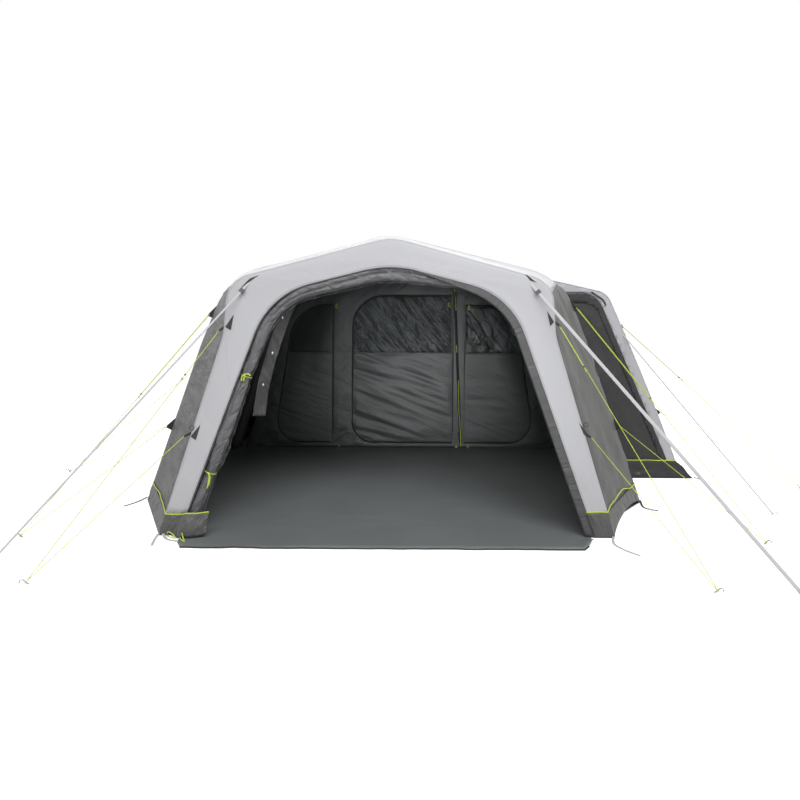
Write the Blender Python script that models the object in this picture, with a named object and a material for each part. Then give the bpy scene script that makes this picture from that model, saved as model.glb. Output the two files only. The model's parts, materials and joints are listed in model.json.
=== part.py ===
"""Inflatable family tent: air beams, flysheet, side annex, inner tent, groundsheet, guylines and pegs.

Metres, +Z up. The front faces -Y. The origin is on the ground at the middle of the main tent's length.
"""
import math

import bmesh
import bpy
from mathutils import Matrix, Vector

# Fabric, seams and clearances
fabric = 0.004
gap = 0.0003
half_gap = gap / 2
seam_clearance = 0.0004
cut_overrun = 0.01
floor_sheet = 0.004

# Overall layout of the main tent, lengths along Y from the front arch's feet
main_length = 4.60
front_y = -main_length / 2
middle_arch_back = 0.705
inner_arch_back = 2.35
front_lean = 0.10
rear_lean = -0.30
skirt_height = 0.145

# Front arch
front_base = 1.59
front_knee = (1.20, 1.40)
front_shoulder = (1.185, 1.815)
front_apex = 2.14

# Middle arch, the widest one
middle_base = 2.04
middle_knee = (1.60, 1.30)
middle_shoulder = (1.385, 1.875)
middle_apex = 2.235

# Inner arch, at the bedroom's front
inner_base = 1.99
inner_knee = (1.58, 1.30)

# Rear arch, leaning forward over the bedroom
rear_base = 1.75
rear_knee = (1.42, 1.15)
rear_shoulder = (1.22, 1.65)
rear_apex = 1.95

# Rounding of every arch
knee_radius = 0.50
shoulder_radius = 0.11
ridge_radius = 0.45
knee_steps = 2
shoulder_steps = 5
ridge_steps = 2

# Doorway in the front panel
door_base = 1.456
door_knee = (1.12, 1.00)
door_shoulder = (0.882, 1.695)
door_apex = 1.924
door_knee_radius = 1.20
door_shoulder_radius = 0.56
door_ridge_radius = 0.80
zip_strip_width = 0.065
zip_strip_lap = 0.020

# Rolled front door along the doorway's left side
roll_depth = 0.052
roll_lobes = 4
roll_lobe_share = 0.16
roll_twist_turns = 1.6
roll_sides = 12
roll_floor_clearance = 0.020
roll_taper_shares = (0.72, 1.0, 1.08, 1.0, 0.95, 0.88, 0.80, 0.72, 0.62, 0.52, 0.42)
roll_rings = 26
roll_end_x = 0.50
roll_tie_width = 0.018
roll_tie_wall = 0.003
roll_tie_shares = (0.13, 0.44, 0.66, 0.86)

# Air beams
beam_radius = 0.060
beam_sides = 12
beam_clearance = 0.001
beam_rest = floor_sheet + gap

# Valves on the beams
valve_height_up = 0.42
valve_flange_radius = 0.017
valve_flange = 0.004
valve_neck_radius = 0.013
valve_neck = 0.010
valve_cap_radius = 0.0145
valve_cap = 0.006
valve_sides = 12

# Side annex on the right
annex_back = 1.366
annex_foot = 2.80
annex_leg_foot = 2.638
annex_shoulder = (1.955, 1.745)
annex_shoulder_radius = 0.09
annex_roof_start = 1.20
annex_beam_end = 1.52
annex_door_bottom = 0.175
annex_door_top = 1.66
annex_door_top_clearance = 0.0018
annex_frame_width = 0.125
annex_inner_strip = 0.055
annex_door_corner_radius = 0.16

# Inner tent
bedroom_back = 2.45
bedroom_depth = 1.90
bedroom_base = 1.81
bedroom_knee = (1.43, 1.28)
bedroom_shoulder = (1.24, 1.71)
bedroom_apex = 2.03
bedroom_rear_base = 1.52
bedroom_rear_knee = (1.22, 1.08)
bedroom_rear_shoulder = (1.03, 1.46)
bedroom_rear_apex = 1.72
bedroom_lift = floor_sheet + gap
bedroom_door_sill = 0.055
bedroom_door_steps = 4
left_door_hinge = -0.83
left_door_edge = -1.50
left_door_top = 1.65
left_door_upper_edge = -1.27
left_door_radius = 0.24
centre_door_hinge = 0.555
centre_door_edge = -0.605
centre_door_top = 1.755
centre_door_radius = 0.25
right_door_hinge = 0.685
right_door_edge = 1.50
right_door_top = 1.65
right_door_upper_edge = 1.27
right_door_radius = 0.24
slider_x = 0.62
slider_bottom = 0.10
slider_size = (0.016, 0.008, 0.030)
slider_pull = (0.008, 0.003, 0.060)

# Rear vent
vent_width = 0.60
vent_bottom = 1.02
vent_top = 1.26
vent_flap_lap = 0.04

# Groundsheet in front of the doorway
groundsheet_front = 0.175
groundsheet_front_half = 1.353
groundsheet_neck_half = 1.42

# Guylines
cord_radius = 0.0025
cord_bend = 0.010
bend_steps = 6
tab_length = 0.055
tab_base = 0.11
tab_tip = 0.020
tab_thickness = 0.003
tab_setback = 0.006
tab_pull_share = 2.0
tab_hole = 0.0052
tab_hole_inset = 0.010
runner_size = (0.036, 0.013, 0.005)
runner_hole = 0.0031
runner_tail = 0.030
hole_sides = 8
ground_loop_height = 0.010
guard = 0.030
straight_share = 0.99999
peg_radius = 0.004
peg_head = 0.030
peg_hook = 0.016
peg_hook_drop = 0.008
peg_sides = 8

# Storm straps
strap_width = 0.025
strap_thickness = 0.002
thin_strap_width = 0.010
buckle_size = (0.038, 0.030, 0.007)
buckle_slot = (0.0262, 0.0032)
buckle_travel = 0.40
corner_strap_width = 0.020
corner_strap_thickness = 0.002
corner_strap_reach = 0.11

# Guyline places: side, arch, upper and lower tab heights, runner share, peg (x, length back)
guyline_places = {
    "front_left": (-1, "front", 1.45, 0.70, 0.21, (-2.010, -0.689)),
    "front_right": (1, "front", 1.50, 0.71, 0.19, (1.921, -0.737)),
    "middle_left": (-1, "middle", 1.56, 0.63, 0.40, (-2.518, -0.057)),
    "middle_right": (1, "middle", 1.63, 0.65, 0.43, (2.594, -0.093)),
    "rear_left": (-1, "inner", 1.60, 0.66, 0.36, (-3.173, 1.434)),
    "annex_right": (1, "annex", 1.46, 0.64, 0.33, (3.632, 1.091)),
}
tab_carriers = {
    "side_panel_front_left": ("front_left", "middle_left"),
    "side_panel_front_right": ("front_right", "middle_right"),
    "side_panel_rear_left": ("rear_left",),
    "annex_wall": ("annex_right",),
}
strap_anchor_left = (-2.303, -0.708)
strap_anchor_right = (2.374, -0.764)
strap_tab_x = 1.015
strap_tab_z = 1.790
thin_strap_anchor = (2.977, 0.456)
thin_strap_z = 1.36


def clear_scene():
    """Remove every object that the file opens with."""
    for thing in list(bpy.data.objects):
        bpy.data.objects.remove(thing, do_unlink=True)


def material(name, colour, roughness=0.8, metallic=0.0):
    """A plain Principled material."""
    found = bpy.data.materials.new(name)
    found.use_nodes = True
    shader = found.node_tree.nodes["Principled BSDF"]
    shader.inputs["Base Color"].default_value = (*colour, 1.0)
    shader.inputs["Roughness"].default_value = roughness
    shader.inputs["Metallic"].default_value = metallic
    return found


def add_object(name, mesh, look, origin=(0, 0, 0), smooth=None):
    """Link a bmesh as a named object whose origin is at the given point."""
    bmesh.ops.recalc_face_normals(mesh, faces=mesh.faces)
    bmesh.ops.translate(mesh, vec=-Vector(origin), verts=mesh.verts)
    data = bpy.data.meshes.new(name)
    mesh.to_mesh(data)
    mesh.free()
    data.materials.append(look)
    if smooth is not None:
        data.shade_smooth()
        data.set_sharp_from_angle(angle=math.radians(smooth))
    made = bpy.data.objects.new(name, data)
    made.location = origin
    bpy.context.collection.objects.link(made)
    return made


def add_grid_solid(mesh, top, bottom):
    """Add the closed solid between two grids of points of the same size."""
    rows = len(top)
    columns = len(top[0])
    upper = [[mesh.verts.new(point) for point in row] for row in top]
    lower = [[mesh.verts.new(point) for point in row] for row in bottom]
    for i in range(rows - 1):
        for j in range(columns - 1):
            mesh.faces.new((upper[i][j], upper[i][j + 1], upper[i + 1][j + 1], upper[i + 1][j]))
            mesh.faces.new((lower[i][j], lower[i + 1][j], lower[i + 1][j + 1], lower[i][j + 1]))
    rim = [(0, j) for j in range(columns)]
    rim += [(i, columns - 1) for i in range(1, rows)]
    rim += [(rows - 1, j) for j in range(columns - 2, -1, -1)]
    rim += [(i, 0) for i in range(rows - 2, 0, -1)]
    for (i, j), (k, m) in zip(rim, rim[1:] + rim[:1]):
        mesh.faces.new((upper[i][j], lower[i][j], lower[k][m], upper[k][m]))


def add_ring_solid(mesh, rings):
    """Add the closed solid that passes through a row of rings, with a face at each end."""
    loops = [[mesh.verts.new(point) for point in ring] for ring in rings]
    count = len(loops[0])
    for first, second in zip(loops, loops[1:]):
        for i in range(count):
            j = (i + 1) % count
            mesh.faces.new((first[i], first[j], second[j], second[i]))
    mesh.faces.new(loops[0][::-1])
    mesh.faces.new(loops[-1])


def add_cup_solid(mesh, outer, inner):
    """Add a cup from its outer and inner rings, both from the mouth to the closed end."""
    shells = [[[mesh.verts.new(point) for point in ring] for ring in rings] for rings in (outer, inner)]
    count = len(outer[0])
    for i in range(count):
        j = (i + 1) % count
        for shell in shells:
            for first, second in zip(shell, shell[1:]):
                mesh.faces.new((first[i], first[j], second[j]))
                mesh.faces.new((first[i], second[j], second[i]))
        mesh.faces.new((shells[0][0][i], shells[0][0][j], shells[1][0][j], shells[1][0][i]))
    for shell in shells:
        mesh.faces.new(shell[-1])


def add_plate(mesh, outline, to_point, near, far):
    """Add a plate of one outline between two depths; to_point turns (x, z, depth) into a place."""
    add_ring_solid(mesh, [[to_point(x, z, depth) for x, z in outline] for depth in (near, far)])


def helper(name, mesh):
    """Link a bmesh as a hidden shape that a Boolean cuts away or joins on."""
    made = add_object(name, mesh, bpy.data.materials["helper"])
    made.hide_render = True
    made.display_type = "WIRE"
    return made


def combine(target, tool, operation):
    """Put an exact Boolean on an object."""
    step = target.modifiers.new(operation.lower(), "BOOLEAN")
    step.operation = operation
    step.solver = "EXACT"
    step.object = tool


def cut(target, tool):
    """Cut a helper's shape out of an object."""
    combine(target, tool, "DIFFERENCE")


def join(target, tool):
    """Join a helper's shape to an object."""
    combine(target, tool, "UNION")


def arc_points(before, corner, after, radius, steps):
    """Points of the arc that rounds a corner."""
    toward = (before - corner).normalized()
    onward = (after - corner).normalized()
    half = toward.angle(onward) / 2
    centre = corner + (toward + onward).normalized() * radius / math.sin(half)
    reach = radius / math.tan(half)
    first = corner + toward * reach - centre
    last = corner + onward * reach - centre
    sweep = first.angle(last)
    points = []
    for step in range(steps + 1):
        share = step / steps
        spoke = (first * math.sin((1 - share) * sweep) + last * math.sin(share * sweep)) / math.sin(sweep)
        points.append(centre + spoke)
    return points


def offset_corners(corners, inset):
    """Corners of an open outline moved inward, the first kept on the ground and the last at x = 0."""
    lines = []
    for first, second in zip(corners, corners[1:]):
        along = (second - first).normalized()
        lines.append((first + Vector((-along.y, along.x)) * inset, along))
    ground = (Vector((0, 0)), Vector((1, 0)))
    centre = (Vector((0, 0)), Vector((0, 1)))
    lines = [ground] + lines + [centre]
    moved = []
    for (p, d), (q, e) in zip(lines, lines[1:]):
        reach = (q - p).cross(e) / d.cross(e)
        moved.append(p + d * reach)
    return moved


class Arch:
    """A cross-section of the tent: straight legs, rounded knees, shoulders and ridge."""

    def __init__(self, back, lean, base, knee, shoulder, apex, radii):
        self.foot_y = front_y + back
        self.lean = lean
        self.corners = [Vector((base, 0)), Vector(knee), Vector(shoulder), Vector((0, apex))]
        self.radii = radii

    def half(self, inset=0.0):
        """Points of the right half from the ground to the ridge."""
        base, knee, shoulder, apex = offset_corners(self.corners, inset)
        other = Vector((-shoulder.x, shoulder.y))
        rounding = [radius - inset for radius in self.radii]
        skirt = base + (knee - base) * skirt_height / knee.y
        points = [base, skirt]
        points += arc_points(base, knee, shoulder, rounding[0], knee_steps)
        points += arc_points(knee, shoulder, apex, rounding[1], shoulder_steps)
        points += arc_points(shoulder, apex, other, rounding[2], 2 * ridge_steps)[:ridge_steps + 1]
        return points

    def outline(self, inset=0.0):
        """Points from the left foot over the ridge to the right foot."""
        right = self.half(inset)
        left = [Vector((-p.x, p.y)) for p in right[:-1]]
        return left + right[::-1]

    def place(self, point, shift=0.0):
        """A point of the outline in space, moved along Y by shift."""
        return Vector((point.x, self.foot_y + self.lean * point.y + shift, point.y))

    def width_at(self, height, inset=0.0):
        """Half width at a height on the lower leg."""
        base, knee = offset_corners(self.corners, inset)[:2]
        return base.x + (knee.x - base.x) * height / knee.y

    def leg_point(self, side, height, inset=0.0):
        """A point in space on a leg at any height below the shoulder, and the leg's direction up."""
        corners = offset_corners(self.corners, inset)
        first, second = (corners[0], corners[1]) if height < corners[1].y else (corners[1], corners[2])
        share = (height - first.y) / (second.y - first.y)
        x = first.x + (second.x - first.x) * share
        up = Vector((side * (second.x - first.x), self.lean * (second.y - first.y), second.y - first.y))
        return self.place(Vector((side * x, height))), up.normalized()


tent_radii = (knee_radius, shoulder_radius, ridge_radius)
door_radii = (door_knee_radius, door_shoulder_radius, door_ridge_radius)
front_arch = Arch(0, front_lean, front_base, front_knee, front_shoulder, front_apex, tent_radii)
middle_arch = Arch(middle_arch_back, 0, middle_base, middle_knee, middle_shoulder, middle_apex, tent_radii)
inner_arch = Arch(inner_arch_back, 0, inner_base, inner_knee, middle_shoulder, middle_apex, tent_radii)
rear_arch = Arch(main_length, rear_lean, rear_base, rear_knee, rear_shoulder, rear_apex, tent_radii)
doorway = Arch(0, front_lean, door_base, door_knee, door_shoulder, door_apex, door_radii)
bedroom_front = Arch(bedroom_back, 0, bedroom_base, bedroom_knee, bedroom_shoulder, bedroom_apex, tent_radii)
bedroom_rear = Arch(bedroom_back + bedroom_depth, rear_lean, bedroom_rear_base, bedroom_rear_knee,
                    bedroom_rear_shoulder, bedroom_rear_apex, tent_radii)

ridge_index = 1 + knee_steps + 1 + shoulder_steps + 1 + ridge_steps + 1
last_index = 2 * ridge_index
eave_index = 1 + knee_steps + 1 + 1


def annex_share():
    """How far the annex's front lies between the middle and the inner arch."""
    return (annex_back - middle_arch_back) / (inner_arch_back - middle_arch_back)


def main_outline_at_annex(inset=0.0):
    """The main tent's outline in the plane of the annex's front."""
    near = middle_arch.outline(inset)
    far = inner_arch.outline(inset)
    return [a.lerp(b, annex_share()) for a, b in zip(near, far)]


def shortened(points, start, end):
    """A row of points with its first and last point drawn in by the given lengths."""
    made = list(points)
    made[0] = made[0] + (made[1] - made[0]).normalized() * start
    made[-1] = made[-1] + (made[-2] - made[-1]).normalized() * end
    return made


def row_on(arch, inset, first, last):
    """Points in space on an arch from one index to another, clear of the seams at both ends."""
    points = [arch.place(p) for p in arch.outline(inset)[first:last + 1]]
    return shortened(points, seam_clearance, seam_clearance)


def flysheet_panel(name, arches, first, last, look, stop_back=None):
    """A sheet lofted over two or more arches between two indices of their outlines."""
    mesh = bmesh.new()
    grids = []
    for inset in (0.0, fabric):
        rows = [row_on(arch, inset, first, last) for arch in arches]
        if stop_back is not None:
            stop = front_y + stop_back
            rows[-1] = [a + (b - a) * (stop - a.y) / (b.y - a.y) for a, b in zip(rows[-2], rows[-1])]
        rows[0] = [a + (b - a).normalized() * gap for a, b in zip(rows[0], rows[1])]
        rows[-1] = [b + (a - b).normalized() * gap for a, b in zip(rows[-2], rows[-1])]
        grids.append(rows)
    add_grid_solid(mesh, grids[0], grids[1])
    panel = add_object(name, mesh, look, smooth=25)
    if name in tab_carriers:
        join_tabs(panel, name)
    return panel


def front_panel():
    """The light arch around the doorway, from one skirt over the ridge to the other."""
    first = 1
    last = last_index - 1
    mesh = bmesh.new()
    grids = []
    for shift in (-fabric - half_gap, -half_gap):
        grids.append([
            [arch.place(p, shift) for p in shortened(arch.outline()[first:last + 1], half_gap, half_gap)]
            for arch in (front_arch, doorway)
        ])
    add_grid_solid(mesh, grids[0], grids[1])
    return add_object("front_panel", mesh, bpy.data.materials["light_fabric"])


def door_zip_strip():
    """The dark band with the door's zip, behind the doorway's edge from foot to foot."""
    mesh = bmesh.new()
    grids = []
    for shift in (half_gap, half_gap + fabric / 2):
        rows = []
        for inset in (-zip_strip_lap, zip_strip_width):
            outline = doorway.outline(inset)
            outline[0] = outline[0].lerp(outline[1], 2 * floor_sheet / skirt_height)
            outline[-1] = outline[-1].lerp(outline[-2], 2 * floor_sheet / skirt_height)
            rows.append([doorway.place(p, shift) for p in outline])
        grids.append(rows)
    add_grid_solid(mesh, grids[0], grids[1])
    return add_object("door_zip_strip", mesh, bpy.data.materials["dark_fabric"])


def skirt_columns(stops, inset, shift):
    """Bottom and top points of a mud skirt at each of its stops."""
    return [[stop(index, inset, shift) for stop in stops] for index in (0, 1)]


def arch_stop(arch, side, shift_sign=0):
    """A skirt stop at an arch's leg; shift_sign puts it before or behind the arch's plane."""
    def stop(index, inset, shift):
        point = arch.half(inset)[index]
        drop = half_gap if index == 1 else 0
        place = arch.place(Vector((side * point.x, point.y - drop)), shift_sign * shift)
        return place
    return stop


def doorway_stop(side):
    """A skirt stop at the doorway's edge, in the front panel's plane."""
    def stop(index, inset, shift):
        point = doorway.half()[index]
        drop = half_gap if index == 1 else 0
        return doorway.place(Vector((side * point.x, point.y - drop)), -shift)
    return stop


def annex_front_stop(index, inset, shift):
    """A skirt stop where the right skirt meets the annex's front wall."""
    point = main_outline_at_annex(inset)[last_index - index]
    drop = half_gap if index == 1 else 0
    return Vector((point.x, front_y + annex_back + fabric, point.y - drop))


def corner_strap(mesh, corner, way):
    """Add the short webbing strap that pegs down a corner of the skirt."""
    level = Vector((0, 0, corner_strap_thickness))
    add_strap(mesh, corner - way * fabric / 2 + level, corner + way * corner_strap_reach + level,
              corner_strap_width, corner_strap_thickness, Vector((0, 0, 1)))


def mud_skirt(name, stops, pegged):
    """A low dark strip along the ground, bent round the tent's corners, with a strap at each."""
    mesh = bmesh.new()
    outer = skirt_columns(stops, 0.0, fabric + half_gap)
    inner = skirt_columns(stops, fabric, half_gap)
    add_grid_solid(mesh, outer, inner)
    skirt = add_object(name, mesh, bpy.data.materials["dark_fabric"])
    straps = bmesh.new()
    for arch, side, behind in pegged:
        corner = arch.place(Vector((side * arch.half()[0].x, 0)), behind * (fabric + half_gap))
        corner_strap(straps, corner, Vector((side, behind, 0)).normalized())
    join(skirt, helper(name + "_straps", straps))
    return skirt


def mud_skirts():
    """The skirt round the left and rear, and the one at the right of the doorway."""
    mud_skirt("mud_skirt_main", [
        doorway_stop(-1), arch_stop(front_arch, -1, -1), arch_stop(middle_arch, -1),
        arch_stop(inner_arch, -1), arch_stop(rear_arch, -1, 1), arch_stop(rear_arch, 1, 1),
        arch_stop(inner_arch, 1),
    ], [(front_arch, -1, -1), (middle_arch, -1, 0), (rear_arch, -1, 1), (rear_arch, 1, 1)])
    mud_skirt("mud_skirt_right", [
        doorway_stop(1), arch_stop(front_arch, 1, -1), arch_stop(middle_arch, 1), annex_front_stop,
    ], [(front_arch, 1, -1), (middle_arch, 1, 0)])


def rear_panel():
    """The leaning rear wall above its skirt, with the vent's opening."""
    mesh = bmesh.new()
    outline = rear_arch.outline()[1:last_index]
    outline = shortened(outline, half_gap, half_gap)

    def to_point(x, z, depth):
        return rear_arch.place(Vector((x, z)), depth)

    add_plate(mesh, outline, to_point, half_gap, half_gap + fabric)
    panel = add_object("rear_panel", mesh, bpy.data.materials["dark_fabric"])
    hole = bmesh.new()
    half = vent_width / 2
    corners = [(-half, vent_bottom), (half, vent_bottom), (half, vent_top), (-half, vent_top)]
    add_plate(hole, corners, to_point, -cut_overrun, fabric + cut_overrun)
    cut(panel, helper("vent_opening", hole))
    return panel


def rear_vent_flap():
    """The outside flap over the rear vent, hinged along its upper edge."""
    mesh = bmesh.new()
    half = vent_width / 2 + vent_flap_lap
    top = vent_top + vent_flap_lap
    bottom = vent_bottom - vent_flap_lap
    corners = [(-half, bottom), (half, bottom), (half, top), (-half, top)]
    near = half_gap + fabric + gap

    def to_point(x, z, depth):
        return rear_arch.place(Vector((x, z)), depth)

    add_plate(mesh, corners, to_point, near, near + fabric)
    hinge = rear_arch.place(Vector((0, top)), near + fabric)
    return add_object("rear_vent_flap", mesh, bpy.data.materials["dark_fabric"], origin=hinge)


def groundsheet():
    """The flat floor of the living area, the bedroom and the annex, with its tongue before the door."""
    inset = fabric + gap
    top = floor_sheet
    front_back = -half_gap + gap + front_lean * top
    widths = [arch.width_at(top, inset) for arch in (front_arch, middle_arch, inner_arch, rear_arch)]
    annex_low, annex_high = annex_outline()[:2]
    annex_wall_x = annex_low.x - (annex_low.x - annex_high.x) * top / skirt_height - 2 * inset
    wing_front = annex_back + fabric + gap
    wing_rear = inner_arch_back - fabric - 2 * gap
    share = annex_share()
    wing_x = widths[1] + (widths[2] - widths[1]) * share
    rear_edge = main_length + rear_lean * top - gap
    right = [
        (groundsheet_front_half, -groundsheet_front),
        (groundsheet_neck_half, -groundsheet_front / 2),
        (groundsheet_neck_half, front_back),
        (widths[0], front_back),
        (widths[1], middle_arch_back),
        (wing_x, wing_front),
        (annex_wall_x, wing_front),
        (annex_wall_x, wing_rear),
        (widths[2], wing_rear),
        (widths[2], inner_arch_back),
        (widths[3], rear_edge),
    ]
    left = [
        (-widths[3], rear_edge),
        (-widths[2], inner_arch_back),
        (-widths[1], middle_arch_back),
        (-widths[0], front_back),
        (-groundsheet_neck_half, front_back),
        (-groundsheet_neck_half, -groundsheet_front / 2),
        (-groundsheet_front_half, -groundsheet_front),
    ]
    mesh = bmesh.new()

    def to_point(x, y, depth):
        return Vector((x, front_y + y, depth))

    add_plate(mesh, right + left, to_point, 0, floor_sheet)
    return add_object("groundsheet", mesh, bpy.data.materials["ground_fabric"])


def ring_around(centre, along, facing, radius, sides, angle_share=0.5):
    """Points of a regular ring round a direction; a flat of it faces the given way."""
    across = along.cross(facing).normalized()
    outward = across.cross(along).normalized()
    spoke = radius / math.cos(math.pi / sides)
    points = []
    for index in range(sides):
        angle = 2 * math.pi * (index + angle_share) / sides
        points.append(centre + (outward * math.cos(angle) + across * math.sin(angle)) * spoke)
    return points


def dropped_to(points, along, height):
    """Points slid along a direction until they all lie at one height."""
    return [p + along * (height - p.z) / along.z for p in points]


def beam_inset():
    """How far inside a wall's outer face a beam's centre line lies."""
    return beam_radius / math.cos(math.pi / beam_sides) + fabric + beam_clearance


def beam_path(arch, shift):
    """Centre line of an arch's air beam, from foot to foot."""
    inset = beam_inset()
    if arch is middle_arch:
        inset /= math.cos(math.atan2(middle_base - front_base, middle_arch_back))
    outline = arch.outline(inset)
    return [arch.place(p, shift) for p in outline[:1] + outline[2:-2] + outline[-1:]]


def path_rings(path, facing, radius, sides):
    """Rings along a path, mitred at its bends."""
    rings = []
    for index, point in enumerate(path):
        before = path[max(index - 1, 0)]
        after = path[min(index + 1, len(path) - 1)]
        arriving = (point - before).normalized() if index else (after - point).normalized()
        leaving = (after - point).normalized() if index < len(path) - 1 else arriving
        along = (arriving + leaving).normalized()
        across = along.cross(facing).normalized()
        outward = across.cross(along).normalized()
        stretch = 1 / math.cos(arriving.angle(leaving) / 2)
        spoke = radius / math.cos(math.pi / sides)
        ring = []
        for side in range(sides):
            angle = 2 * math.pi * (side + 0.5) / sides
            ring.append(point + outward * math.cos(angle) * spoke + across * math.sin(angle) * spoke * stretch)
        rings.append(ring)
    return rings


def add_beam(mesh, path, both_feet=True):
    """Add an air beam along a path, its feet cut level just above the groundsheet."""
    facing = Vector((0, 1, 0))
    rings = path_rings(path, facing, beam_radius, beam_sides)
    rings[0] = dropped_to(rings[0], (path[1] - path[0]).normalized(), beam_rest)
    if both_feet:
        rings[-1] = dropped_to(rings[-1], (path[-2] - path[-1]).normalized(), beam_rest)
    add_ring_solid(mesh, rings)


def annex_outline(inset=0.0):
    """Outline of the annex in its own cross-section, from its foot to the main roof."""
    start = roof_height(annex_roof_start) + fabric + 2 * gap
    foot = Vector((annex_foot, 0))
    knee = Vector((annex_leg_foot, skirt_height))
    shoulder = Vector(annex_shoulder)
    top = Vector((annex_roof_start, start))
    legs = [knee, shoulder, top]
    if inset:
        leg = (shoulder - knee).normalized()
        roof = (top - shoulder).normalized()
        a = knee + Vector((-leg.y, leg.x)) * inset
        b = top + Vector((-roof.y, roof.x)) * inset
        reach = (b - a).cross(roof) / leg.cross(roof)
        corner = a + leg * reach
        a = corner + (a - corner) * (corner.y - skirt_height) / (corner.y - a.y)
        legs = [a, corner, b]
        out = (knee - foot).normalized()
        lower = foot + Vector((-out.y, out.x)) * inset
        foot = lower - out * lower.y / out.y
    rounded = arc_points(legs[0], legs[1], legs[2], annex_shoulder_radius - inset, shoulder_steps)
    return [foot, legs[0]] + rounded + [legs[2]]


def roof_height(x):
    """Height of the main roof's outer face at a distance from the ridge, between ridge and shoulder."""
    shoulder_x, shoulder_z = middle_shoulder
    return middle_apex - (middle_apex - shoulder_z) * x / shoulder_x


def annex_point(point, back):
    """A point of the annex's cross-section in space."""
    return Vector((point.x, front_y + back, point.y))


def annex_beam_path():
    """Centre line of the annex's air beam, from its foot to under the main roof's edge."""
    inset = beam_inset()
    back = annex_back + fabric + inset
    outline = annex_outline(inset)
    leg = (outline[2] - outline[1]).normalized()
    foot = outline[1] - leg * outline[1].y / leg.y
    top = outline[-1]
    edge = outline[-2]
    share = (edge.x - annex_beam_end) / (edge.x - top.x)
    end = edge + (top - edge) * share
    return [annex_point(p, back) for p in [foot] + outline[2:-1] + [end]]


def beam_paths():
    """The centre line of every air beam by name."""
    behind = beam_inset()
    return {
        "front": beam_path(front_arch, behind),
        "middle": beam_path(middle_arch, 0.0),
        "inner": beam_path(inner_arch, 0.0),
        "rear": beam_path(rear_arch, -behind),
        "annex": annex_beam_path(),
    }


def air_beams():
    """Every air beam with its welded valve, and the valve's hinged cap."""
    for name, path in beam_paths().items():
        mesh = bmesh.new()
        add_beam(mesh, path, both_feet=name != "annex")
        beam = add_object("air_beam_" + name, mesh, bpy.data.materials["beam_fabric"], smooth=40)
        join(beam, helper("valve_" + name, valve_mesh(name, path)))
        valve_cap_object(name, path)


def valve_place(name, path):
    """The middle of a valve's base on its beam, the way it faces and the beam's direction."""
    start, after = path[0], path[1]
    along = (after - start).normalized()
    centre = start + along * (valve_height_up - start.z) / along.z
    way = Vector((0, -1 if name == "rear" else 1, 0))
    facing = (way - along * way.dot(along)).normalized()
    return centre + facing * beam_radius, facing, along


def disc_rings(place, radius, low, high):
    """Two rings of a flat round piece between two heights above its base."""
    centre, facing, along = place
    return [ring_around(centre + facing * height, facing, along, radius, valve_sides) for height in (low, high)]


def valve_mesh(name, path):
    """A valve's flange and neck, sunk a little into its beam."""
    place = valve_place(name, path)
    mesh = bmesh.new()
    flange = disc_rings(place, valve_flange_radius, -valve_flange / 2, valve_flange)
    neck = disc_rings(place, valve_neck_radius, valve_flange, valve_flange + valve_neck)
    add_ring_solid(mesh, flange + neck)
    return mesh


def valve_cap_object(name, path):
    """A valve's cap, turning on its rim."""
    place = valve_place(name, path)
    centre, facing, along = place
    low = valve_flange + valve_neck + gap
    mesh = bmesh.new()
    add_ring_solid(mesh, disc_rings(place, valve_cap_radius, low, low + valve_cap))
    hinge = centre + facing * low + facing.cross(along) * valve_cap_radius
    add_object("valve_cap_" + name, mesh, bpy.data.materials["black_plastic"], origin=hinge, smooth=40)


def annex_roof():
    """The annex's roof from its shoulder up to the main roof."""
    mesh = bmesh.new()
    grids = []
    near = annex_back + fabric + gap
    far = inner_arch_back - fabric - 2 * gap
    for inset in (0.0, fabric):
        row = shortened(annex_outline(inset)[2:], half_gap, 0)
        grids.append([[annex_point(p, back) for p in row] for back in (near, far)])
    add_grid_solid(mesh, grids[0], grids[1])
    return add_object("annex_roof", mesh, bpy.data.materials["light_fabric"], smooth=25)


def annex_wall():
    """The annex's outer side wall and its rear wall, in one piece round the rear corner."""
    near = annex_back + fabric + gap
    rear = inner_arch_back - half_gap
    grids = []
    for inset in (0.0, fabric):
        outline = annex_outline(inset)
        leg = (outline[2] - outline[1]).normalized()
        rows = []
        for point in (outline[1] + leg * half_gap, outline[2] - leg * half_gap):
            inside = Vector((leg_clearance_x(point.y), point.y))
            back = rear - inset
            rows.append([annex_point(point, near), annex_point(point, back), annex_point(inside, back)])
        grids.append(rows)
    mesh = bmesh.new()
    add_grid_solid(mesh, grids[0], grids[1])
    wall = add_object("annex_wall", mesh, bpy.data.materials["dark_fabric"])
    join_tabs(wall, "annex_wall")
    return wall


def leg_clearance_x(height):
    """How far out something level with a height starts, clear of the inner arch's leg."""
    point, _ = inner_arch.leg_point(1, height, -2 * gap)
    return point.x


def annex_front_polygon():
    """Outline of the annex's front wall: its own outline outside, the main tent's inside."""
    outer = annex_outline()[1:]
    outer[0] = outer[0] + (outer[1] - outer[0]).normalized() * half_gap
    inside = main_outline_at_annex(-2 * gap)
    inside = [p for p in inside if p.x > annex_roof_start][:-1]
    bottom = inside[-1] + (inside[-2] - inside[-1]).normalized() * half_gap
    return outer + inside[:-1] + [bottom]


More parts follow.
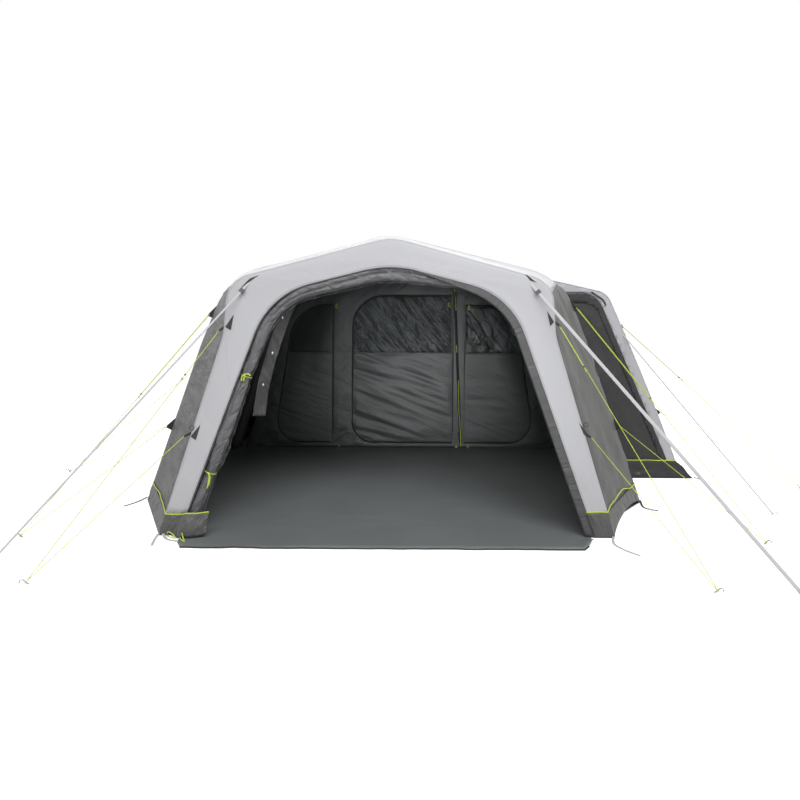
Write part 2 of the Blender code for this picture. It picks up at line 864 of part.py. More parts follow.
def annex_door_polygon(clearance, top_clearance):
    """Outline of the annex's door: slanted sides, an arched top corner, drawn in by two clearances."""
    leg_in = [main_outline_at_annex(-annex_inner_strip)[last_index - i] for i in (1, 2)]
    leg_out = annex_outline(annex_frame_width)[1:3]

    def on(pair, height):
        return pair[0] + (pair[1] - pair[0]) * (height - pair[0].y) / (pair[1].y - pair[0].y)

    low = annex_door_bottom + clearance
    high = annex_door_top - top_clearance
    side = Vector((clearance, 0))
    lower_in = on(leg_in, low) + side
    upper_in = on(leg_in, high) + side
    upper_out = on(leg_out, high) - side
    lower_out = on(leg_out, low) - side
    top = arc_points(lower_out, upper_out, upper_in, annex_door_corner_radius - clearance, shoulder_steps)
    return [lower_in, lower_out] + top + [upper_in]


def annex_front():
    """The annex's front frame, and the door in it with its hinge along the slanted inner side."""
    def to_point(x, z, depth):
        return Vector((x, front_y + annex_back + depth, z))

    mesh = bmesh.new()
    add_plate(mesh, annex_front_polygon(), to_point, 0, fabric)
    frame = add_object("annex_front_frame", mesh, bpy.data.materials["light_fabric"])
    hole = bmesh.new()
    add_plate(hole, annex_door_polygon(0, 0), to_point, -cut_overrun, fabric + cut_overrun)
    cut(frame, helper("annex_doorway", hole))
    door = bmesh.new()
    outline = annex_door_polygon(2 * gap, annex_door_top_clearance)
    add_plate(door, outline, to_point, 0, fabric)
    hinge = to_point(outline[0].x, outline[0].y, 0)
    add_object("annex_door", door, bpy.data.materials["dark_fabric"], origin=hinge)


def annex_skirt():
    """The flared skirt round the annex's front, outer side and rear."""
    outer = annex_outline()[:2]
    inner = annex_outline(fabric)[:2]
    front = annex_back
    rear = inner_arch_back - half_gap
    inside = main_outline_at_annex(-2 * gap)
    rear_inside = inner_arch.outline(-2 * gap)
    rows_out = []
    rows_in = []
    for index in (0, 1):
        drop = Vector((0, half_gap if index else 0))
        near = inside[last_index - index] - drop
        far = rear_inside[last_index - index] - drop
        out = outer[index] - drop
        into = inner[index] - drop
        for rows, corner, inset in ((rows_out, out, 0), (rows_in, into, fabric)):
            first = front + inset
            last = rear - inset
            rows.append([annex_point(near, first), annex_point(corner, first),
                         annex_point(corner, last), annex_point(far, last)])
    mesh = bmesh.new()
    add_grid_solid(mesh, rows_out, rows_in)
    skirt = add_object("annex_skirt", mesh, bpy.data.materials["dark_fabric"])
    strap = bmesh.new()
    corner_strap(strap, annex_point(outer[0], front), Vector((1, -1, 0)).normalized())
    join(skirt, helper("annex_skirt_strap", strap))
    return skirt


def bedroom_point(x, z, depth):
    """A place on the inner tent's front wall."""
    return Vector((x, front_y + bedroom_back + depth, z))


def bedroom_door_polygon(hinge, edge, upper_edge, top, radius, clearance):
    """Outline of a zipped bedroom door: a straight hinge side and a free side with round corners."""
    way = 1 if edge > hinge else -1
    side = Vector((way * clearance, 0))
    low = bedroom_door_sill + clearance
    high = top - clearance
    hinge_low = Vector((hinge, low)) + side
    hinge_high = Vector((hinge, high)) + side
    free_low = Vector((edge, low)) - side
    free_high = Vector((upper_edge, high)) - side
    rounding = radius - clearance
    points = [hinge_low]
    points += arc_points(hinge_low, free_low, free_high, rounding, bedroom_door_steps)
    points += arc_points(free_low, free_high, hinge_high, rounding, bedroom_door_steps)
    return points + [hinge_high]


bedroom_doors = {
    "left": (left_door_hinge, left_door_edge, left_door_upper_edge, left_door_top, left_door_radius),
    "centre": (centre_door_hinge, centre_door_edge, centre_door_edge, centre_door_top, centre_door_radius),
    "right": (right_door_hinge, right_door_edge, right_door_upper_edge, right_door_top, right_door_radius),
}


def raised(outline):
    """An outline with its two feet lifted onto the groundsheet."""
    made = list(outline)
    for end, beside in ((0, 1), (-1, -2)):
        share = bedroom_lift / (made[beside].y - made[end].y)
        made[end] = made[end].lerp(made[beside], share)
    return made


def inner_tent_front():
    """The inner tent's front wall with its three doors, and the zip slider between two of them."""
    mesh = bmesh.new()
    add_plate(mesh, raised(bedroom_front.outline()), bedroom_point, 0, fabric)
    wall = add_object("inner_tent_front_wall", mesh, bpy.data.materials["inner_fabric"])
    holes = bmesh.new()
    for name, sizes in bedroom_doors.items():
        add_plate(holes, bedroom_door_polygon(*sizes, 0), bedroom_point, -cut_overrun, fabric + cut_overrun)
        door = bmesh.new()
        outline = bedroom_door_polygon(*sizes, 2 * gap)
        add_plate(door, outline, bedroom_point, 0, fabric)
        hinge = bedroom_point(outline[0].x, outline[0].y, 0)
        add_object("inner_door_" + name, door, bpy.data.materials["inner_fabric"], origin=hinge)
    cut(wall, helper("inner_doorways", holes))


def zip_slider():
    """The slider and hanging pull of the upright zip between the centre and right doors."""
    width, depth, height = slider_size
    pull_width, pull_depth, pull_height = slider_pull
    front = front_y + bedroom_back - gap
    low = slider_bottom
    rows = []
    levels = [
        (low, pull_width, pull_depth), (low + pull_height, pull_width, pull_depth),
        (low + pull_height, width, depth), (low + pull_height + height, width, depth),
    ]
    for z, wide, deep in levels:
        rows.append([
            Vector((slider_x - wide / 2, front, z)), Vector((slider_x + wide / 2, front, z)),
            Vector((slider_x + wide / 2, front - deep, z)), Vector((slider_x - wide / 2, front - deep, z)),
        ])
    mesh = bmesh.new()
    add_ring_solid(mesh, rows)
    return add_object("zip_slider", mesh, bpy.data.materials["black_plastic"], origin=(slider_x, front, low))


def inner_tent_body():
    """The inner tent's floor, sides, roof and rear wall as one open-fronted shell."""
    def ring(arch, inset, lift, shift):
        points = raised(arch.outline(inset))
        points = [Vector((p.x, max(p.y, bedroom_lift + lift))) for p in points]
        return [arch.place(p, shift) for p in points]

    start = fabric + gap
    outer = [ring(bedroom_front, 0.0, 0.0, start), ring(bedroom_rear, 0.0, 0.0, 0.0)]
    inner = [ring(bedroom_front, fabric, fabric, start), ring(bedroom_rear, fabric, fabric, -fabric)]
    mesh = bmesh.new()
    add_cup_solid(mesh, outer, inner)
    return add_object("inner_tent_body", mesh, bpy.data.materials["inner_fabric"], smooth=25)


def roll_path():
    """Centre line of the rolled door: up the doorway's left side and along its top."""
    inset = zip_strip_width / 2 + roll_depth / 2
    outline = doorway.outline(inset)
    start = outline[0].lerp(outline[1], roll_floor_clearance / skirt_height)
    points = [start] + [p for p in outline[1:] if p.x < roll_end_x]
    path = even_points(smooth_points([doorway.place(p) for p in points], bend_steps), roll_rings)
    lean_stretch = math.sqrt(1 + front_lean ** 2)
    seated = []
    for index, point in enumerate(path):
        shift = half_gap + fabric / 2 + gap + tie_radius(index / (len(path) - 1)) * lean_stretch
        seated.append(point + Vector((0, shift, 0)))
    return seated


def front_normal():
    """The way square to the leaning front, into the tent."""
    return Vector((0, 1, -front_lean)).normalized()


def tie_radius(share):
    """Radius of a tie's band at a share of the rolled door's length, just outside its folds."""
    return roll_depth * share_at(roll_taper_shares, share) * (1 + roll_lobe_share) + roll_tie_wall


def even_points(points, count):
    """Points at even distances along a row of points."""
    lengths = [0.0]
    for first, second in zip(points, points[1:]):
        lengths.append(lengths[-1] + (second - first).length)
    made = []
    for index in range(count):
        target = lengths[-1] * index / (count - 1)
        k = max(i for i in range(len(points) - 1) if lengths[i] <= target or i == 0)
        span = lengths[k + 1] - lengths[k]
        made.append(points[k].lerp(points[k + 1], (target - lengths[k]) / span))
    return made


def share_at(values, share):
    """A value read from an even row of values."""
    place = share * (len(values) - 1)
    index = min(int(place), len(values) - 2)
    return values[index] + (values[index + 1] - values[index]) * (place - index)


def roll_ring(path, index, radius):
    """One lobed ring of the rolled door, its folds twisting along it."""
    before = path[max(index - 1, 0)]
    after = path[min(index + 1, len(path) - 1)]
    along = (after - before).normalized()
    across = along.cross(front_normal()).normalized()
    outward = across.cross(along).normalized()
    share = index / (len(path) - 1)
    twist = 2 * math.pi * roll_twist_turns * share
    points = []
    for side in range(roll_sides):
        angle = 2 * math.pi * side / roll_sides
        reach = radius * (1 + roll_lobe_share * math.cos(roll_lobes * angle + twist))
        points.append(path[index] + (outward * math.cos(angle) + across * math.sin(angle)) * reach)
    return points


def rolled_front_door():
    """The front door rolled up beside and above the doorway, and the ties that hold it."""
    path = roll_path()
    rings = []
    for index in range(len(path)):
        radius = roll_depth * share_at(roll_taper_shares, index / (len(path) - 1))
        rings.append(roll_ring(path, index, radius))
    mesh = bmesh.new()
    add_ring_solid(mesh, rings)
    roll = add_object("rolled_front_door", mesh, bpy.data.materials["dark_fabric"], smooth=60)
    ties = bmesh.new()
    for share in roll_tie_shares:
        add_tie(ties, path, share)
    join(roll, helper("door_ties", ties))


def add_tie(mesh, path, share):
    """Add the band that a tie makes round the rolled door at a share of its length."""
    place = share * (len(path) - 1)
    index = int(place)
    centre = path[index].lerp(path[index + 1], place - index)
    along = (path[index + 1] - path[index]).normalized()
    ends = [centre + along * side * roll_tie_width / 2 for side in (-1, 1)]
    add_ring_solid(mesh, [ring_around(p, along, front_normal(), tie_radius(share), roll_sides) for p in ends])


def smooth_points(points, steps):
    """Points of a smooth curve through a row of points, evenly paced in each stretch."""
    spans = [(b - a).length for a, b in zip(points, points[1:])]
    slopes = [(points[1] - points[0]) / spans[0]]
    for i in range(1, len(points) - 1):
        before = (points[i] - points[i - 1]) / spans[i - 1]
        after = (points[i + 1] - points[i]) / spans[i]
        slopes.append((before * spans[i] + after * spans[i - 1]) / (spans[i] + spans[i - 1]))
    slopes.append((points[-1] - points[-2]) / spans[-1])
    made = [points[0]]
    for i, span in enumerate(spans):
        straight = slopes[i].normalized().dot(slopes[i + 1].normalized()) > straight_share
        count = 1 if straight else steps
        for step in range(1, count + 1):
            t = step / count
            a = 2 * t ** 3 - 3 * t ** 2 + 1
            b = (t ** 3 - 2 * t ** 2 + t) * span
            c = 3 * t ** 2 - 2 * t ** 3
            d = (t ** 3 - t ** 2) * span
            made.append(points[i] * a + slopes[i] * b + points[i + 1] * c + slopes[i + 1] * d)
    return made


def guy_arch(name):
    """The arch whose leg carries a guyline's tabs."""
    return {"front": front_arch, "middle": middle_arch, "inner": inner_arch}[name]


def tab_seat(side, arch_name, height):
    """The middle of a tab's base, sunk halfway into its wall, the leg's direction and the way out."""
    if arch_name == "annex":
        outline = annex_outline(fabric / 2)
        leg = (outline[2] - outline[1]).normalized()
        point = outline[1] + leg * (height - outline[1].y) / leg.y
        seat = annex_point(point, annex_back + fabric + tab_setback)
        return seat, Vector((leg.x, 0, leg.y)), Vector((leg.y, 0, -leg.x))
    arch = guy_arch(arch_name)
    point, up = arch.leg_point(side, height, fabric / 2)
    flat = Vector((up.x, 0, up.z)).normalized()
    out = Vector((side * flat.z, 0, -side * flat.x))
    way = {"front": 1, "middle": -1, "inner": 0}[arch_name]
    flare = (middle_base - front_base) / middle_arch_back
    return point + Vector((side * flare, 1, 0)) * way * tab_setback, up, out


def tab_lean(side, arch_name, height, anchor):
    """A tab's base, its leg's direction and the way its tip points, mostly along the pull on it."""
    seat, up, out = tab_seat(side, arch_name, height)
    toward = (anchor - seat).normalized()
    return seat, up, (out + toward * tab_pull_share).normalized()


def ground_place(place, height):
    """A place over the ground where a line is anchored."""
    x, back = place
    return Vector((x, front_y + back, height))


def guyline_facts(name):
    """The upper hole, lower tip, runner, ground anchor, direction and side direction of a guyline."""
    side, arch_name, upper, lower, share, place = guyline_places[name]
    anchor = ground_place(place, ground_loop_height)
    seat, _, lean = tab_lean(side, arch_name, lower, anchor)
    lower_tip = seat + lean * tab_length
    seat, up, lean = tab_lean(side, arch_name, upper, anchor)
    upper_hole = seat + lean * (tab_length - tab_hole_inset)
    along = (anchor - upper_hole).normalized()
    runner = upper_hole + (anchor - upper_hole) * share
    square = up.cross(lean) * side
    across = -(square - along * along.dot(square)).normalized()
    return upper_hole, lower_tip, runner, anchor, along, across


def guyline_route(name):
    """Points of one guyline: runner, upper tab, back through the runner, round the peg, lower tab."""
    upper, lower, runner, anchor, along, across = guyline_facts(name)
    across = across * cord_bend
    turn = upper + along * cord_bend
    near = runner + along * runner_tail
    points = [near + across, runner + across, turn + along * guard + across, turn + across]
    for step in range(1, bend_steps):
        angle = math.pi * step / bend_steps
        points.append(turn + across * math.cos(angle) - along * math.sin(angle) * cord_bend)
    points += [turn - across, turn + along * guard - across, runner - across, near - across]
    back, away, sideways = loop_ways(name)
    bend = anchor - away * cord_bend
    into = bend + sideways * cord_bend
    out = bend - sideways * cord_bend
    points += [into - along * guard, into]
    for step in range(1, bend_steps):
        angle = math.pi * step / bend_steps
        points.append(bend + sideways * math.cos(angle) * cord_bend + away * math.sin(angle) * cord_bend)
    points += [out, out + back * guard, lower - back * end_standoff(name, back)]
    return points


def loop_ways(name):
    """The way back from a guyline's lower loop, the way that the loop points, and the way across it."""
    _, lower, _, anchor, along, across = guyline_facts(name)
    back = (lower - anchor).normalized()
    away = (along - back).normalized()
    return back, away, (away * away.dot(across) - across).normalized()


def guyline_peg(name):
    """The hooked steel peg that a guyline's lower loop bears on, leaning away from the tent."""
    anchor = guyline_facts(name)[3]
    _, away, sideways = loop_ways(name)
    add_peg("peg_" + name, anchor - away * (cord_radius + gap + peg_radius), away, sideways)


def add_peg(name, middle, away, sideways):
    """A peg whose shank passes through a point square to the pull on it, cut level with the ground."""
    axis = sideways.cross(away).normalized()
    if axis.z < 0:
        axis = -axis
    foot = middle - axis * middle.z / axis.z
    head = middle + axis * peg_head
    crook = head + away * peg_hook
    rings = path_rings([foot, head, crook, crook - axis * peg_hook_drop], sideways, peg_radius, peg_sides)
    rings[0] = dropped_to(rings[0], axis, 0)
    mesh = bmesh.new()
    add_ring_solid(mesh, rings)
    add_object(name, mesh, bpy.data.materials["steel"], smooth=40)


def end_standoff(name, back):
    """How far short of the lower tab's slanted tip a guyline's flat end stops."""
    side, arch_name, _, lower, _, place = guyline_places[name]
    _, up, lean = tab_lean(side, arch_name, lower, ground_place(place, ground_loop_height))
    square = (lean - up * lean.dot(up)).normalized()
    cosine = abs(back.dot(square))
    return (gap + cord_radius * math.sqrt(1 - cosine ** 2)) / cosine


def add_cord(name, points, radius, look):
    """A round cord along a smooth curve through its points."""
    data = bpy.data.curves.new(name, "CURVE")
    data.dimensions = "3D"
    data.bevel_depth = radius
    data.bevel_resolution = 2
    data.use_fill_caps = True
    route = smooth_points(points, 2)
    spline = data.splines.new("POLY")
    spline.points.add(len(route) - 1)
    for slot, point in zip(spline.points, route):
        slot.co = (*point, 1)
    data.materials.append(look)
    made = bpy.data.objects.new(name, data)
    bpy.context.collection.objects.link(made)
    return made


def add_tab(mesh, seat, up, lean):
    """Add a triangular tab from its base in the wall to its tip."""
    half = up.cross(lean).normalized() * tab_thickness / 2
    tip = seat + lean * tab_length
    base_half = up * tab_base / 2
    tip_half = up * tab_tip / 2
    corners = [seat - base_half, seat + base_half, tip + tip_half, tip - tip_half]
    add_ring_solid(mesh, [[p - half for p in corners], [p + half for p in corners]])


def join_tabs(panel, panel_name):
    """Join the guyline tabs that are sewn to a panel, each upper one with a hole for its cord."""
    mesh = bmesh.new()
    holes = bmesh.new()
    for name in tab_carriers[panel_name]:
        side, arch_name, upper, lower, _, place = guyline_places[name]
        anchor = ground_place(place, ground_loop_height)
        for height in (upper, lower):
            seat, up, lean = tab_lean(side, arch_name, height, anchor)
            add_tab(mesh, seat, up, lean)
            if height is upper:
                hole = seat + lean * (tab_length - tab_hole_inset)
                square = up.cross(lean).normalized()
                ends = [hole + square * tab_thickness * way for way in (-1, 1)]
                rings = [ring_around(p, square, lean, tab_hole, hole_sides) for p in ends]
                add_ring_solid(holes, rings)
    join(panel, helper(panel_name + "_tabs", mesh))
    cut(panel, helper(panel_name + "_tab_holes", holes))


def guylines():
    """The six guylines with their runners and pegs."""
    for name in guyline_places:
        add_cord("guyline_" + name, guyline_route(name), cord_radius, bpy.data.materials["lime_cord"])
        add_runner(name)
        guyline_peg(name)


def add_runner(name):
    """The tensioning runner of one guyline, with a hole for each strand."""
    _, _, runner, _, along, across = guyline_facts(name)
    other = along.cross(across).normalized()
    long, wide, thick = runner_size
    corners = [(-1, -1), (1, -1), (1, 1), (-1, 1)]
    rings = []
    for end in (-1, 1):
        middle = runner + along * end * thick / 2
        rings.append([middle + across * a * long / 2 + other * b * wide / 2 for a, b in corners])
    mesh = bmesh.new()
    add_ring_solid(mesh, rings)
    made = add_object("runner_" + name, mesh, bpy.data.materials["black_plastic"], origin=runner)
    holes = bmesh.new()
    for way in (-1, 1):
        centre = runner + across * way * cord_bend
        ends = [centre - along * thick, centre + along * thick]
        add_ring_solid(holes, [ring_around(p, along, other, runner_hole, hole_sides) for p in ends])
    cut(made, helper("runner_holes_" + name, holes))


def strap_ends(side):
    """The upper and lower end of a storm strap."""
    shift = -fabric - half_gap - strap_thickness / 2 - 2 * gap
    upper = front_arch.place(Vector((side * strap_tab_x, strap_tab_z)), shift)
    lower = ground_place(strap_anchor_left if side < 0 else strap_anchor_right, strap_width / 2)
    return upper, lower


def add_strap(mesh, upper, lower, width, thickness, facing):
    """Add a flat strap between two points, its broad side facing the given way."""
    along = (lower - upper).normalized()
    across = along.cross(facing).normalized()
    normal = across.cross(along).normalized()
    corners = [(-1, -1), (1, -1), (1, 1), (-1, 1)]
    rings = []
    for point in (upper, lower):
        rings.append([point + across * a * width / 2 + normal * b * thickness / 2 for a, b in corners])
    add_ring_solid(mesh, rings)
    return along, across, normal


def storm_straps():
    """The two webbing storm straps and their sliding buckles."""
    for side, name in ((-1, "left"), (1, "right")):
        upper, lower = strap_ends(side)
        mesh = bmesh.new()
        facing = Vector((0, -1, front_lean)).normalized()
        along, across, normal = add_strap(mesh, upper, lower, strap_width, strap_thickness, facing)
        add_object("storm_strap_" + name, mesh, bpy.data.materials["grey_webbing"])
        centre = upper + along * buckle_travel / 4
        wide, long, thick = buckle_size
        slot_wide, slot_thick = buckle_slot
        buckle = bmesh.new()
        corners = [(-1, -1), (1, -1), (1, 1), (-1, 1)]
        loops = []
        outside = ((wide, thick, -1), (wide, thick, 1))
        inside = ((slot_wide, slot_thick, 1), (slot_wide, slot_thick, -1))
        for w, t, end in outside + inside:
            middle = centre + along * end * long / 2
            loops.append([middle + across * a * w / 2 + normal * b * t / 2 for a, b in corners])
        verts = [[buckle.verts.new(p) for p in loop] for loop in loops]
        for first, second in zip(verts, verts[1:] + verts[:1]):
            for i in range(4):
                j = (i + 1) % 4
                buckle.faces.new((first[i], first[j], second[j], second[i]))
        add_object("strap_buckle_" + name, buckle, bpy.data.materials["black_plastic"], origin=centre)


def thin_strap_ends():
    """The upper and lower end of the annex's narrow strap."""
    outline = annex_outline()
    leg = (outline[2] - outline[1]).normalized()
    point = outline[1] + leg * (thin_strap_z - outline[1].y) / leg.y
    out = Vector((leg.y, 0, -leg.x)) * (thin_strap_width / 2 + 2 * gap)
    upper = annex_point(point, annex_back + fabric / 2) + out
    return upper, ground_place(thin_strap_anchor, ground_loop_height)


def annex_strap():
    """The narrow strap that holds the annex down, and its peg."""
    upper, lower = thin_strap_ends()
    mesh = bmesh.new()
    facing = Vector((0, -1, 0))
    along, _, normal = add_strap(mesh, upper, lower, thin_strap_width, strap_thickness, facing)
    add_object("annex_strap", mesh, bpy.data.materials["grey_webbing"])
    add_peg("peg_annex_strap", lower + along * (gap + peg_radius), along, normal)


def make_materials():
    """Every material of the tent."""
    material("light_fabric", (0.54, 0.54, 0.57))
    material("dark_fabric", (0.12, 0.12, 0.12))
    material("inner_fabric", (0.045, 0.05, 0.052), 0.6)
    material("ground_fabric", (0.05, 0.055, 0.055), 0.55)
    material("beam_fabric", (0.07, 0.07, 0.075), 0.6)
    material("black_plastic", (0.02, 0.02, 0.02), 0.45)
    material("steel", (0.45, 0.45, 0.46), 0.35, 1.0)
    material("grey_webbing", (0.42, 0.42, 0.43))
    material("lime_cord", (0.50, 0.62, 0.05), 0.6)
    material("helper", (1.0, 0.0, 0.0))


def flysheet():
    """The roof and side panels over the arches."""
    light = bpy.data.materials["light_fabric"]
    dark = bpy.data.materials["dark_fabric"]
    eave_right = last_index - eave_index
    flysheet_panel("roof_front", [front_arch, middle_arch], eave_index, eave_right, light)
    flysheet_panel("roof_rear", [middle_arch, inner_arch, rear_arch], eave_index, eave_right, light)
    flysheet_panel("side_panel_front_left", [front_arch, middle_arch], 1, eave_index, dark)
    flysheet_panel("side_panel_rear_left", [middle_arch, inner_arch, rear_arch], 1, eave_index, dark)
    flysheet_panel("side_panel_front_right", [front_arch, middle_arch, inner_arch], eave_right, last_index - 1,
                   dark, stop_back=annex_back + fabric)
    flysheet_panel("side_panel_rear_right", [inner_arch, rear_arch], eave_right, last_index - 1, dark)


def build():
    """The whole tent."""
    clear_scene()
    make_materials()
    air_beams()
    front_panel()
    door_zip_strip()
    flysheet()
    mud_skirts()
    rear_panel()
    rear_vent_flap()
    annex_roof()
    annex_wall()
    annex_front()
    annex_skirt()
    groundsheet()
    inner_tent_front()
    inner_tent_body()
    zip_slider()
    rolled_front_door()
    guylines()
    storm_straps()
    annex_strap()


build()
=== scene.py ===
"""Inflatable family tent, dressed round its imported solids.

Metres, +Z up. The front faces -Y and the origin is on the ground at the middle of the main tent's length.
Every cloth piece lies in the middle of the wall that its solid holds.
"""

import json
import logging
import math
from dataclasses import dataclass
from enum import Enum
from typing import Callable, Iterable, Sequence

import bmesh
import bpy
from mathutils import Vector, noise
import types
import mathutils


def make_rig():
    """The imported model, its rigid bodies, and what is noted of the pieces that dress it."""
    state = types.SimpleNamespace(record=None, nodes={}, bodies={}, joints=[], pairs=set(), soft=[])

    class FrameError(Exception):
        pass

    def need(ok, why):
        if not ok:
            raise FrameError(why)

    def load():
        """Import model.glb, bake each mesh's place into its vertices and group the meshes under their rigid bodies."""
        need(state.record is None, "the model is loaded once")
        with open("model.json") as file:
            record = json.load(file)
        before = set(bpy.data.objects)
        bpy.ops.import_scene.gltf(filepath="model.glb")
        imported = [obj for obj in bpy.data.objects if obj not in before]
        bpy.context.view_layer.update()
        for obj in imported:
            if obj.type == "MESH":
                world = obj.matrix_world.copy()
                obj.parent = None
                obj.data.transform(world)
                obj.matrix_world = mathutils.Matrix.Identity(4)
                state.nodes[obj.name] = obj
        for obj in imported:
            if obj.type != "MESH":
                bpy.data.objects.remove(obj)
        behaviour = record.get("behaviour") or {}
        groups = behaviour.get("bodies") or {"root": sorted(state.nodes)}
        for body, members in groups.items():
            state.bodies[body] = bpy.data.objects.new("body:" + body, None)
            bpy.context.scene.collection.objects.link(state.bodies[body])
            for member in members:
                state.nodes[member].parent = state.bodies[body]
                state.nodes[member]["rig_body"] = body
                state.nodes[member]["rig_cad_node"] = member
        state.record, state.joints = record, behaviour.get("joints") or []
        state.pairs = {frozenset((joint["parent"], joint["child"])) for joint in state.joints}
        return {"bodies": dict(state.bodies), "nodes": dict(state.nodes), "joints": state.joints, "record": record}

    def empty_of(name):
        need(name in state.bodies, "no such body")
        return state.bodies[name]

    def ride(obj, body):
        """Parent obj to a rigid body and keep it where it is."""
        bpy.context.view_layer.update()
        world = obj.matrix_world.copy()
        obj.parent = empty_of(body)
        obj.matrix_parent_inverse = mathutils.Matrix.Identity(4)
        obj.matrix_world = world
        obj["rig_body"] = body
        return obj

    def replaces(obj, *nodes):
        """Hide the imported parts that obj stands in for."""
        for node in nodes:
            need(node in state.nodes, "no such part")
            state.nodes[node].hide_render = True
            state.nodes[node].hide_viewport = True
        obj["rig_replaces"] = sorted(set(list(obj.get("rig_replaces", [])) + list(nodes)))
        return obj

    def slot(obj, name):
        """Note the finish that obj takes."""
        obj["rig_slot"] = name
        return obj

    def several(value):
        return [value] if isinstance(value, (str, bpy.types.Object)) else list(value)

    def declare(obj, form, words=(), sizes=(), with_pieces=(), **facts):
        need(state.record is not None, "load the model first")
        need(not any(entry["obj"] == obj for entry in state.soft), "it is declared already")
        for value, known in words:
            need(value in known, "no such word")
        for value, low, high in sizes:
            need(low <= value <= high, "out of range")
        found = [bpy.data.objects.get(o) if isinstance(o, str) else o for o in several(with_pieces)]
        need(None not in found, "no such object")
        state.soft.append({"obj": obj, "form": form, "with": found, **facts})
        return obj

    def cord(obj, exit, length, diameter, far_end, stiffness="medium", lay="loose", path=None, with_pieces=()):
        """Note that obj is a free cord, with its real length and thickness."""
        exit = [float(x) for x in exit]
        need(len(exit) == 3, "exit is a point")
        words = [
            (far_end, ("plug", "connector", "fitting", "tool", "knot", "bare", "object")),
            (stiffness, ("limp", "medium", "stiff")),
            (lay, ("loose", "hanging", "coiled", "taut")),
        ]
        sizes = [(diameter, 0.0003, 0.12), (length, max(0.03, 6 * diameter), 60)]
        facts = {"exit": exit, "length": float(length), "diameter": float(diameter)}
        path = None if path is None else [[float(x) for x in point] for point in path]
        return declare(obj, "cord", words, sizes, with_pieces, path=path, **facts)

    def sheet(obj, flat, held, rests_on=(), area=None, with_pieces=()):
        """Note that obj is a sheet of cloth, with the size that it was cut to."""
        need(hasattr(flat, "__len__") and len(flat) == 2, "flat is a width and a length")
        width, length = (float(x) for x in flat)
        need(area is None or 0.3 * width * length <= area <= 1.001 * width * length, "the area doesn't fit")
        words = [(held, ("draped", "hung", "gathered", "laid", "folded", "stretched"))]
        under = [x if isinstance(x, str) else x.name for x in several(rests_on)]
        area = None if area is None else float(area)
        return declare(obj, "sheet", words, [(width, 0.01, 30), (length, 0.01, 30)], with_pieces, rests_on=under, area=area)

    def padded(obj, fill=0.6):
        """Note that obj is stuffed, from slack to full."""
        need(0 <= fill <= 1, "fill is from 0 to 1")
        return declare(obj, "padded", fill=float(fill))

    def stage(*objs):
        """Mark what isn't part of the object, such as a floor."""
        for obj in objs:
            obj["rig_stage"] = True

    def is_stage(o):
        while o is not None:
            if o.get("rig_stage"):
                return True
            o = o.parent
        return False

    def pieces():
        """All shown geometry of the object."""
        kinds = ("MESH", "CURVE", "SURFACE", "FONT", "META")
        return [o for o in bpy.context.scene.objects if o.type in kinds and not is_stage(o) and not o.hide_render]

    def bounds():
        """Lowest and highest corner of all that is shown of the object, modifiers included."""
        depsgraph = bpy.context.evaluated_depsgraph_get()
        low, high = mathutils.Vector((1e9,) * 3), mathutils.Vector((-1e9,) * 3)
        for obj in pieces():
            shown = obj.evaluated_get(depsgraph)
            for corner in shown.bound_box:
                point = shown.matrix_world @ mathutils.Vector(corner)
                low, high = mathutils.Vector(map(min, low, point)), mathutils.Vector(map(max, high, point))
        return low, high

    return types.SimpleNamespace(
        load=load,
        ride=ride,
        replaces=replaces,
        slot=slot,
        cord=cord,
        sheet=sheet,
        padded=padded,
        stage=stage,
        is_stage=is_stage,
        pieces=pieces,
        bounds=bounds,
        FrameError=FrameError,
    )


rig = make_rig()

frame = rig.load()
cad_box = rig.bounds()

Flat = tuple[float, float]
Space = tuple[float, float, float]
Colour = Space
Points = list[Vector]
Grid = list[Points]
Mesh = bmesh.types.BMesh
Look = bpy.types.Material
Piece = bpy.types.Object
Socket = bpy.types.NodeSocket

log = logging.getLogger("tent")

FABRIC = 0.004
GAP = 0.0003
HALF_GAP = GAP / 2
FLOOR_SHEET = 0.004
SKIRT_HEIGHT = 0.145
SLIDER_X = 0.62
FRONT_Y = -2.30
MAIN_LENGTH = 4.60
ANNEX_BACK = 1.366
MIDDLE_BACK = 0.705
INNER_BACK = 2.35
BEDROOM_BACK = 2.45
CLOTH_THICKNESS = 0.0014
STRIP_WIDTH = 0.15  # a narrow frame is sewn from strips of this width
LEAST_FILL = 0.3
PIECE_ANGLE = 50.0
CLOTH_ANGLE = 60.0
BELLY = 0.7  # height of the tent's middle line, which inward points at
UP = Vector((0, 0, 1))
ACROSS = Vector((1, 0, 0))
AHEAD = Vector((0, -1, 0))


def arc_points(before: Vector, corner: Vector, after: Vector, radius: float, steps: int) -> Points:
    """Points of the arc that rounds a corner.

    Args:
        before, corner, after: the corner and its two neighbours.
        radius: radius of the arc.
        steps: number of stretches along it.

    Returns:
        The points, both ends among them.
    """
    toward, onward = (before - corner).normalized(), (after - corner).normalized()
    half = toward.angle(onward) / 2
    centre = corner + (toward + onward).normalized() * radius / math.sin(half)
    reach = radius / math.tan(half)
    first, last = corner + toward * reach - centre, corner + onward * reach - centre
    sweep = first.angle(last)
    return [centre + (first * math.sin((1 - t) * sweep) + last * math.sin(t * sweep)) / math.sin(sweep)
            for t in (step / steps for step in range(steps + 1))]


def around(middle: Vector, across: Vector, up: Vector, steps: int, sweep: float = 2 * math.pi) -> Points:
    """Points round a middle, from across toward up, both ends among them."""
    angles = [sweep * step / steps for step in range(steps + 1)]
    return [middle + across * math.cos(angle) + up * math.sin(angle) for angle in angles]


def spread(first: Vector, second: Vector, steps: int) -> Points:
    """Even points after the first point, up to the second."""
    return [first.lerp(second, step / steps) for step in range(1, steps + 1)]


